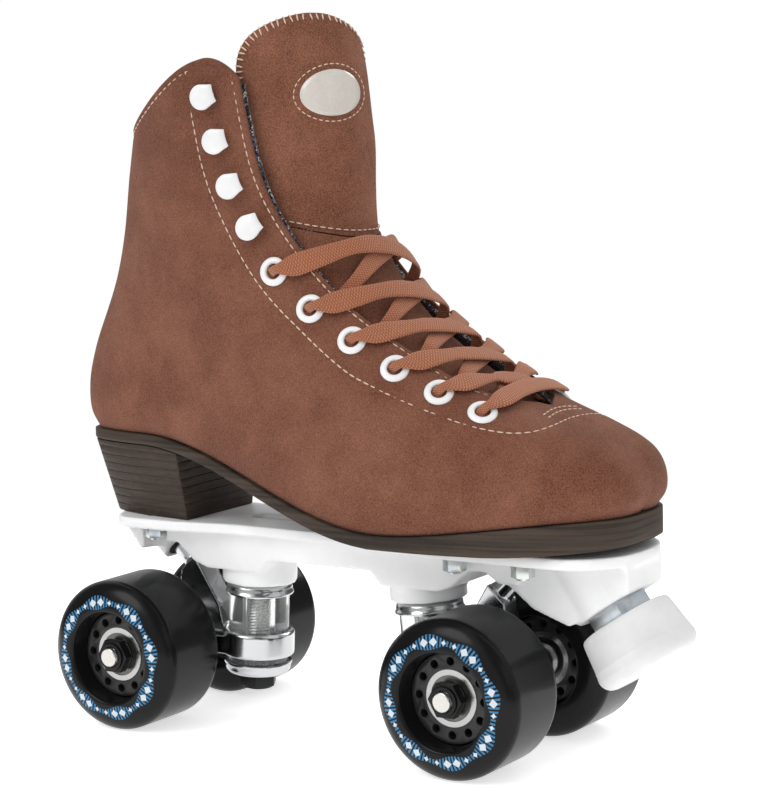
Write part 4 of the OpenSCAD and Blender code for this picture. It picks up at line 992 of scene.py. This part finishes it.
rib_pitch, ribs_across = 1.15, 3.4
lace_weave, place, shader = finish("lace_weave", Roughness=0.8, Sheen_Weight=0.3,
                                   Sheen_Tint=(1, 0.8, 0.65, 1))
across, along, _ = place.node("UVMap", {"uv_map": "band"}).parts()
rib_one = (along * 1000 / rib_pitch + across * ribs_across).wave()
rib_two = (along * 1000 / rib_pitch - across * ribs_across).wave()
weave = 0.5 + 0.25 * (rib_one + rib_two) + 0.25 * rib_one * rib_two
fray = place.noise(2600, 2)
yarn = (0.72 * weave + 0.28 * fray).rise(0.12, 0.78)
yarn.between(paint(122, 62, 37), paint(192, 122, 86)).to(shader, "Base Color")
(weave + 0.25 * fray).bump(0.9, 0.00035).to(shader, "Normal")
bm = laid_sheet(band_round, len(lace_line) - 1, lace_place)
band_map = bm.loops.layers.uv.new("band")
bmesh.ops.recalc_face_normals(bm, faces=bm.faces)
bm.verts.index_update()
for face in bm.faces:
    for loop in face.loops:
        row, column = divmod(loop.vert.index, band_round + 1)
        loop[band_map].uv = (band_x[column] * 0.5 + 0.5, lace_steps[row] * MM)
bmesh.ops.remove_doubles(bm, verts=bm.verts, dist=1e-7)
bmesh.ops.holes_fill(bm, edges=bm.edges, sides=band_round + 2)
bmesh.ops.recalc_face_normals(bm, faces=bm.faces)
put(bm, "woven_lace", lace_weave, "lace_cloth", "skate", "lace", crease=80)

# Insole: a thin board faced with tan woven cloth, laid on the sole inside the boot. Its solid has the right
# shape, so it only gets its cloth.
cloth_pitch = 1.1
insole_cloth, place, shader = finish("insole_cloth", Roughness=0.9)
ahead, aside, _ = place.parts()
threads = (ahead * 1000 / cloth_pitch).wave() * (aside * 1000 / cloth_pitch).wave()
cloth_shade = 0.5 + 0.3 * threads + 0.2 * place.noise(300)
cloth_shade.between(paint(120, 92, 66), paint(170, 138, 104)).to(shader, "Base Color")
threads.bump(0.5, 0.0003).to(shader, "Normal")
for slot in frame["nodes"]["insole"].material_slots:
    slot.material = insole_cloth

# Outsole and heel: dark brown board under the whole foot, with a narrow welt, and a heel built up of thin
# glued layers that draws in to the plate.
plate_top, welt, sole_thick, ball_thick, layer_high = 84.0, 2.0, 4.5, 5.5, 3.55
heel_layers, heel_draw, heel_rake = 9, 6.0, 9.0
sole_layers, place, shader = finish("sole_layers", Specular_IOR_Level=0.3)
_, _, height = place.parts()
layer = (height * 1000 - plate_top) / layer_high % 1.0
glue_line = 1 - abs(layer - 0.5).rise(0.36, 0.5)
streak = place.drawn_out(60, 60, 900).noise(1.0, 4, 0.6)
grain = place.noise(500, 4)
worn = (0.35 * glue_line + 0.45 * streak + 0.2 * grain).rise(0.25, 0.85)
worn.between(paint(82, 69, 59), paint(46, 37, 32)).to(shader, "Base Color")
(0.55 + 0.2 * grain).to(shader, "Roughness")
(0.75 * glue_line + 0.25 * streak + 0.1 * grain).bump(0.4, 0.0005).to(shader, "Normal")
sole_board, place, shader = finish("sole_board", Specular_IOR_Level=0.3)
grain = place.noise(1400, 4, 0.6)
drift = place.drawn_out(12, 12, 480).noise(1.0, 3)
fibre = 0.75 * drift.rise(0.35, 0.65) + 0.25 * grain.rise(0.2, 0.8)
fibre.between(paint(34, 27, 22), paint(74, 61, 51)).to(shader, "Base Color")
(0.5 + 0.25 * grain).to(shader, "Roughness")
grain.bump(0.35, 0.0004).to(shader, "Normal")


def sole_x(t, grow):
    return mix(rear_x + boot_rows[0, 0] - grow, rear_x + boot_length - boot_rows[0, 2] + grow, t) - middle_x


def sole_half(u, grow):
    return girth_half(boot_rows[0], along_foot(u), u) + grow * np.sin(np.pi * u) ** 0.5


def under_z(t):
    """Height of the sole's underside, which lies on the plate from the ball of the foot on."""
    waist = foot_z(t) - sole_thick - (ball_thick - sole_thick) * ease((t - 0.3) / 0.32)
    return np.where(t > 0.62, plate_top + 5 * ease((t - 0.8) / 0.3), waist)


def sole_spot(z_of, grow):
    def spot(s, u):
        t = along_foot(u)
        return np.stack([sole_x(t, grow), s * sole_half(u, grow), z_of(t)], -1)
    return spot


def slab(across, along, u_of, low_spot, high_spot, edge):
    """A slab across the foot: its top sheet is drawn down to its underside, and its rims are rounded."""
    bm = laid_sheet(across, along, lambda s, t: high_spot(2 * s - 1, u_of(t)))
    under = {}
    for i, v in enumerate(bm.verts):
        row, column = divmod(i, across + 1)
        low = low_spot(np.array(2 * column / across - 1), np.array(u_of(row / along)))
        under[v.co.to_tuple(7)] = Vector(low) * MM
    grown = bmesh.ops.extrude_face_region(bm, geom=bm.faces[:], use_keep_orig=True)["geom"]
    for v in grown:
        if isinstance(v, bmesh.types.BMVert):
            v.co = under[v.co.to_tuple(7)]
    bmesh.ops.recalc_face_normals(bm, faces=bm.faces)
    rims = [e for e in bm.edges if e.calc_face_angle(0) > math.radians(50)]
    bmesh.ops.bevel(bm, geom=rims, offset=edge * MM, offset_type="OFFSET", segments=2, profile=0.5,
                    affect="EDGES", material=-1)
    return bm


def grooved(bm, way, places, depth, half):
    """Cuts fine grooves round a piece, in planes that stand across a way at the places given."""
    way = Vector(way)
    for place in places:
        for shift in (-half, half, 0):
            cut = bmesh.ops.bisect_plane(bm, geom=bm.verts[:] + bm.edges[:] + bm.faces[:], dist=1e-7,
                                         plane_co=way * (place + shift) * MM, plane_no=way)["geom_cut"]
        bm.normal_update()
        groove = [(v, v.normal - way * v.normal.dot(way)) for v in cut if isinstance(v, bmesh.types.BMVert)]
        for v, out in groove:
            v.co -= out.normalized() * depth * MM
    return bm


sole_end = 0.006
board_top = sole_spot(lambda t: foot_z(t) - layer_gap / 2, welt)
board = slab(across=10, along=150, u_of=lambda t: mix(sole_end, 1 - sole_end, t), edge=0.5,
             low_spot=sole_spot(under_z, welt), high_spot=board_top)
put(board, "board_sole", sole_board, "sole", "skate", "outsole", crease=50)
heel_front = -61.0 - middle_x
heel_back = sole_x(0, welt)
heel_share = (heel_front - heel_back) / (sole_x(1, welt) - heel_back)
heel_u = math.acos(1 - 2 * heel_share) / math.pi
heel_wide = float(sole_half(np.array(heel_u), welt))
heel_top = sole_spot(lambda t: under_z(t) - layer_gap, welt - 0.3)


def heel_foot(s, u):
    top = heel_top(s, u)
    share = (top[..., 0] - heel_back) / (heel_front - heel_back)
    return np.stack([mix(heel_back + heel_rake, heel_front, share),
                     top[..., 1] * (heel_wide - heel_draw) / heel_wide,
                     np.full_like(top[..., 0], plate_top + 0.02)], -1)


heel = slab(across=10, along=40, u_of=lambda t: mix(sole_end, heel_u, t), edge=0.6, low_spot=heel_foot,
            high_spot=heel_top)
grooved(heel, (0, 0, 1), plate_top + layer_high * np.arange(1, heel_layers), depth=0.3, half=0.25)
put(heel, "stacked_heel", sole_layers, "sole", "skate", "heel", crease=50)

# Plate: one moulding of white nylon that carries both trucks and the toe stop. It has soft edges, ribs below
# and the faint texture of its mould.
nylon, place, shader = finish("white_nylon", Specular_IOR_Level=0.45, Subsurface_Weight=0.08,
                              Subsurface_Radius=(0.004, 0.004, 0.004), Subsurface_Scale=0.5)
haze = place.noise(55, 4)
haze.rise(0.2, 0.8).between(paint(233, 233, 234), paint(242, 242, 242)).to(shader, "Base Color")
(0.3 + 0.16 * haze).to(shader, "Roughness")
place.noise(1500, 2).bump(0.1, 0.0002).to(shader, "Normal")


def moulded(node, name, material, slot, body, voxel, rounds):
    """A cast or moulded piece: the node's own shape with its edges and inner corners softened."""
    piece = bpy.data.objects.new(name, frame["nodes"][node].data.copy())
    scene.collection.objects.link(piece)
    cast = piece.modifiers.new("cast", "REMESH")
    cast.mode = "VOXEL"
    cast.voxel_size = voxel * MM
    soft = piece.modifiers.new("soft", "SMOOTH")
    soft.factor = 0.5
    soft.iterations = rounds
    bpy.context.view_layer.update()
    mesh = bpy.data.meshes.new_from_object(piece.evaluated_get(bpy.context.evaluated_depsgraph_get()))
    bpy.data.objects.remove(piece)
    bm = bmesh.new()
    bm.from_mesh(mesh)
    bpy.data.meshes.remove(mesh)
    return put(bm, name, material, slot, body, node, crease=180)


moulded("plate", "nylon_plate", nylon, "nylon", "skate", voxel=0.8, rounds=6)

# Mounting bolts and nuts: zinc plated steel that clamps the boot to the plate, with the cool tint and faint
# rainbow of bright passivation. The toe stop's thin lock nut is plated with them.
zinc, place, shader = finish("zinc_plate", Metallic=1.0)
bloom = place.noise(130, 3)
bloom.node("ValToRGB", {"stops": [
    (0.25, paint(170, 180, 190)), (0.5, paint(206, 212, 216)), (0.62, paint(212, 215, 204)),
    (0.8, paint(188, 200, 214))]}, {"Fac": bloom}).to(shader, "Base Color")
(0.22 + 0.2 * place.noise(600, 3)).to(shader, "Roughness")
place.noise(1800, 2).bump(0.12, 0.0002).to(shader, "Normal")


def machined(node, material, slot, body, edge=0.0, thread=None):
    """A turned or milled piece: the node's own shape, flats made whole, edges broken and thread cut."""
    bm = bmesh.new()
    bm.from_mesh(frame["nodes"][node].data)
    bmesh.ops.remove_doubles(bm, verts=bm.verts, dist=2e-6)
    bmesh.ops.dissolve_limit(bm, angle_limit=math.radians(0.5), verts=bm.verts, edges=bm.edges)
    if edge:
        rims = [e for e in bm.edges if e.calc_face_angle(0) > math.radians(35)]
        bmesh.ops.bevel(bm, geom=rims, offset=edge * MM, offset_type="OFFSET", segments=2, profile=0.5,
                        affect="EDGES", material=-1, clamp_overlap=True)
    if thread:
        grooved(bm, **thread)
    return put(bm, "fine_" + node, material, slot, body, node, crease=30)


for node in ("mounting_bolts", "mounting_nuts", "toe_stop_locknut"):
    machined(node, zinc, "zinc", "skate", edge=0.25)

# Trucks: on each, a kingpin with a rolled thread and a black lock nut clamps a chromed hanger between two
# clear urethane cushions in chromed cups, and the hanger's tip turns in a rubber pivot cup.
kingpin_lean, thread_pitch = math.radians(4), 1.25
kingpin_steel, place, shader = finish("ground_steel", Metallic=1.0, Base_Color=(0.56, 0.56, 0.55, 1))
_, _, height = place.parts()
(0.2 + 0.15 * place.noise(900, 3)).to(shader, "Roughness")
((height * 1000 / thread_pitch).wave() + 0.2 * place.noise(2000)).bump(0.7, 0.0003).to(shader, "Normal")
kingpin_turns = np.arange(10.0, 58.0, thread_pitch)
kingpin_thread = {"way": (0, 0, 1), "places": kingpin_turns, "depth": 0.3, "half": 0.5}
machined("kingpins", kingpin_steel, "steel", "skate", thread=kingpin_thread)
black_steel, place, shader = finish("black_steel", Metallic=0.75, Base_Color=(0.018, 0.018, 0.019, 1))
(0.3 + 0.25 * place.noise(500, 3)).to(shader, "Roughness")
place.noise(1500, 2).bump(0.12, 0.0002).to(shader, "Normal")
machined("kingpin_nuts", black_steel, "black_steel", "skate", edge=0.3)
pivot_rubber, place, shader = finish("pivot_rubber", Base_Color=(0.012, 0.012, 0.012, 1))
(0.5 + 0.3 * place.noise(400)).to(shader, "Roughness")
machined("pivot_cups", pivot_rubber, "pivot_rubber", "skate", edge=0.2)
chrome, place, shader = finish("chrome", Metallic=1.0, Base_Color=(0.55, 0.56, 0.57, 1))
(0.1 + 0.14 * place.noise(140, 4)).to(shader, "Roughness")
place.noise(220, 3).bump(0.05, 0.0006).to(shader, "Normal")
clear_urethane, place, shader = finish("clear_urethane", Transmission_Weight=0.92, IOR=1.42,
                                       Base_Color=(0.9, 0.92, 0.91, 1))
(0.08 + 0.12 * place.noise(90, 3)).to(shader, "Roughness")
place.drawn_out(1, 1, 0.08).noise(260, 2).bump(0.25, 0.0006).to(shader, "Normal")
ends = {"front": 1, "rear": -1}
cup_seats = {"upper": 25.02, "lower": 12.02}
ring_seat, seat_gap = 2.5, 0.02
cushion_r, cushion_bore, cushion_edge = 12.5, 4.85, 0.7
cup_profile = [(4.9, 1.0), (11.6, 1.0), (12.6, 0.6), (13.3, -0.3), (13.6, -1.2), (13.6, -2.6), (14.05, -3.0),
               (14.2, -3.5), (14.05, -3.95), (13.5, -4.15), (12.9, -4.05), (12.62, -3.7), (12.62, 0),
               (4.9, 0), (4.9, 1.0)]


def kingpin_way(end, part):
    """From the middle of a hanger's ring along its kingpin, to the upper or the lower cup."""
    lean = ends[end] * kingpin_lean
    up = Vector((-math.sin(lean), 0, math.cos(lean)))
    return up if part == "upper" else -up


bm = bmesh.new()
for end in ends:
    for part, seat in cup_seats.items():
        cup = [(r, h + seat) for r, h in cup_profile]
        gather(bm, spun(cup, joint_at(f"{end}_truck_steer"), kingpin_way(end, part), steps=72))
put(bm, "chrome_cups", chrome, "chrome", "skate", "cushion_washers", crease=50)
for end in ends:
    centre = Vector(joint_at(f"{end}_truck_steer"))
    for part, seat in cup_seats.items():
        way = kingpin_way(end, part)
        low, high = ring_seat + seat_gap, seat - seat_gap
        sides = [(cushion_bore, low), (cushion_r - cushion_edge, low)]
        sides += [(cushion_r, h) for h in np.linspace(low + cushion_edge, high - cushion_edge, 8)]
        sides += [(cushion_r - cushion_edge, high), (cushion_bore, high), (cushion_bore, low)]
        cushion = put(spun(sides, centre, way, steps=64), f"{end}_{part}_clear_cushion", clear_urethane,
                      "clear_urethane", None, f"{end}_{part}_cushion", crease=50)
        (centre + low * way) * MM
        (centre + high * way) * MM
        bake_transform(cushion)
for end in ends:
    moulded(f"{end}_hanger", f"{end}_chrome_hanger", chrome, "chrome", f"{end}_truck", voxel=0.5, rounds=5)

# Axles: ground rods through the hangers with rolled ends, thin washers and black lock nuts. The inner rings
# of the bearings and the spacers between them are clamped on each axle.
axle_pitch, axle_rolled = 1.0, 6.0
bright_steel, place, shader = finish("bright_steel", Metallic=1.0, Base_Color=(0.42, 0.42, 0.41, 1))
(0.14 + 0.16 * place.noise(700, 3)).to(shader, "Roughness")
place.noise(1700, 2).bump(0.08, 0.0002).to(shader, "Normal")
axle_steel, place, shader = finish("axle_steel", Metallic=1.0, Base_Color=(0.62, 0.6, 0.57, 1))
_, aside, _ = place.parts()
((aside * 1000 / axle_pitch).wave() + 0.3 * place.noise(1500)).bump(0.5, 0.00025).to(shader, "Normal")
(0.2 + 0.15 * place.noise(900, 3)).to(shader, "Roughness")
axle_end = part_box("front_axle")[1][1] / MM
axle_turns = np.arange(axle_end - axle_rolled, axle_end - 0.8, axle_pitch)
axle_thread = {"way": (0, 1, 0), "places": np.concatenate([axle_turns, -axle_turns]), "depth": 0.28,
               "half": 0.42}
for end in ends:
    machined(f"{end}_axle", axle_steel, "steel", f"{end}_truck", thread=axle_thread)
    machined(f"{end}_axle_nuts", black_steel, "black_steel", f"{end}_truck", edge=0.3)
    machined(f"{end}_axle_washers", bright_steel, "zinc", f"{end}_truck", edge=0.12)
    machined(f"{end}_inner_rings", bright_steel, "bearing_steel", f"{end}_truck")
    machined(f"{end}_spacers", bright_steel, "steel", f"{end}_truck")

# Wheels: cast black urethane on a nylon hub, glossy, with a ring of blue rays and white lozenges printed on
# the outer face; each turns on two shielded ball bearings.
print_from, print_high = 10.6, 6.2
print_rays, print_gems, print_swells, gem_pitch = 96, 32, 8, 4.3
tyre_black, place, shader = finish("tyre_black", Specular_IOR_Level=0.15, Coat_Weight=0.04,
                                   Coat_Roughness=0.08)
around, out_side, _ = place.node("UVMap", {"uv_map": "face"}).parts()
print_share = (out_side * 1000 - print_from) / print_high
inside_print = (print_share > 0.0) * (print_share < 1.0)
from_middle = abs(print_share - 0.5)
swelling = (around * print_swells).wave()
rays = (abs(around * print_rays % 1.0 - 0.5) < 0.26) * (from_middle < 0.32 + 0.16 * swelling) * inside_print
gem_reach = gem_pitch * abs(around * print_gems % 1.0 - 0.5) + print_high * from_middle
gems = (gem_reach < 1.35 + 0.55 * swelling) * inside_print
ink = rays.between((0.006, 0.006, 0.0065, 1), paint(60, 118, 158))
gems.between(ink, paint(200, 207, 212)).to(shader, "Base Color")
scuff = place.noise(220, 5, 0.7)
(0.16 + 0.14 * scuff + 0.2 * gems.most(rays)).to(shader, "Roughness")
place.noise(60, 3).bump(0.06, 0.0008).to(shader, "Normal")
hub_black, place, shader = finish("hub_black", Base_Color=(0.014, 0.014, 0.014, 1))
(0.32 + 0.2 * place.noise(240, 4)).to(shader, "Roughness")
place.noise(900, 2).bump(0.15, 0.0002).to(shader, "Normal")
shield_steel, place, shader = finish("shield_steel", Metallic=1.0, Base_Color=(0.14, 0.14, 0.135, 1))
(0.25 + 0.2 * place.noise(800, 3)).to(shader, "Roughness")
wheel_r, hub_r, tyre_lip, tyre_half, shoulder, tread_half = 31.0, 17.48, 20.0, 19.5, 7.0, 12.0
tyre_side = [(hub_r, 10.0), (hub_r + 0.5, 10.5), (18.45, 17.9), (18.75, 18.9), (19.3, 19.4)]
tyre_side += [(tyre_lip + (wheel_r - tyre_lip) * math.sin(a), tyre_half - shoulder + shoulder * math.cos(a))
              for a in np.linspace(0, math.pi / 2, 22)]
tyre_rows = tyre_side + [(wheel_r, y) for y in np.linspace(tread_half, -tread_half, 14)]
tyre_rows += [(r, -y) for r, y in tyre_side[::-1]] + [(hub_r, y) for y in np.linspace(-9, 10, 6)]
tyre_profile = np.array(tyre_rows) * MM
tyre_steps = steps_along(tyre_profile)


def tyre(side, centre):
    """A tyre with its face mapped by turn and by the way out from its bore, so that the print follows it."""
    bm = spun(tyre_rows, (0, 0, 0), (0, 0, 1), steps=128)
    face_map = bm.loops.layers.uv.new("face")
    for face in bm.faces:
        turns = [math.atan2(loop.vert.co.y, loop.vert.co.x) / (2 * math.pi) % 1 for loop in face.loops]
        for loop, turn in zip(face.loops, turns):
            if max(turns) - min(turns) > 0.5 and turn < 0.5:
                turn += 1
            radius = math.hypot(loop.vert.co.x, loop.vert.co.y)
            off = (tyre_profile[:-1, 0] - radius) ** 2 + (tyre_profile[:-1, 1] - loop.vert.co.z) ** 2
            loop[face_map].uv = (turn, tyre_steps[int(np.argmin(off))])
    turn = Vector((0, 0, 1)).rotation_difference(Vector((0, side, 0))).to_matrix().to_4x4()
    bmesh.ops.transform(bm, matrix=Matrix.Translation(Vector(centre) * MM) @ turn, verts=bm.verts)
    return bm


for end in ends:
    for hand, side in (("right", -1), ("left", 1)):
        name = f"{end}_{hand}"
        wheel = name + "_wheel"
        put(tyre(side, joint_at(wheel + "_spin")), name + "_black_tyre", tyre_black, "wheel_urethane", wheel,
            name + "_tyre", crease=50)
        machined(name + "_hub", hub_black, "hub_nylon", wheel, edge=0.3)
        machined(name + "_outer_rings", bright_steel, "bearing_steel", wheel)
        machined(name + "_shields", shield_steel, "bearing_steel", wheel)
        machined(name + "_balls", bright_steel, "bearing_steel", name + "_ball_set")

# Toe stop: a pad of white rubber with a faint mould line, moulded on a threaded steel stem that screws into
# the nose of the plate.
stop_rubber, place, shader = finish("stop_rubber", Specular_IOR_Level=0.3)
chalk = place.noise(70, 4)
chalk.rise(0.2, 0.8).between(paint(212, 212, 212), paint(225, 225, 225)).to(shader, "Base Color")
(0.5 + 0.2 * chalk).to(shader, "Roughness")
place.noise(1100, 2).bump(0.12, 0.0002).to(shader, "Normal")
pad_low, pad_high, pad_r, pad_edge = 5.6, 27.1, 20.75, 5.0
stop_pad = [(8.0, pad_low + 0.02), (16.4, pad_low), (17.6, pad_low + 0.35), (18.4, pad_low + 1.1),
            (18.75, pad_low + 2.2), (pad_r - 0.62, pad_high - 8.4), (pad_r - 0.42, pad_high - 8.1),
            (pad_r - 0.5, pad_high - 7.8)]
stop_pad += [(pad_r - pad_edge + pad_edge * math.cos(a), pad_high - pad_edge + pad_edge * math.sin(a))
             for a in np.linspace(0, math.pi / 2, 10)]
stop_pad += [(8, pad_high), (0, pad_high)]
stop_way = joints["toe_stop_adjust"]["axis"]
put(spun(stop_pad, joint_at("toe_stop_adjust"), stop_way, steps=72), "white_stop_pad", stop_rubber,
    "stop_rubber", "toe_stop", "toe_stop_pad", crease=60)
machined("toe_stop_stem", kingpin_steel, "zinc", "toe_stop")
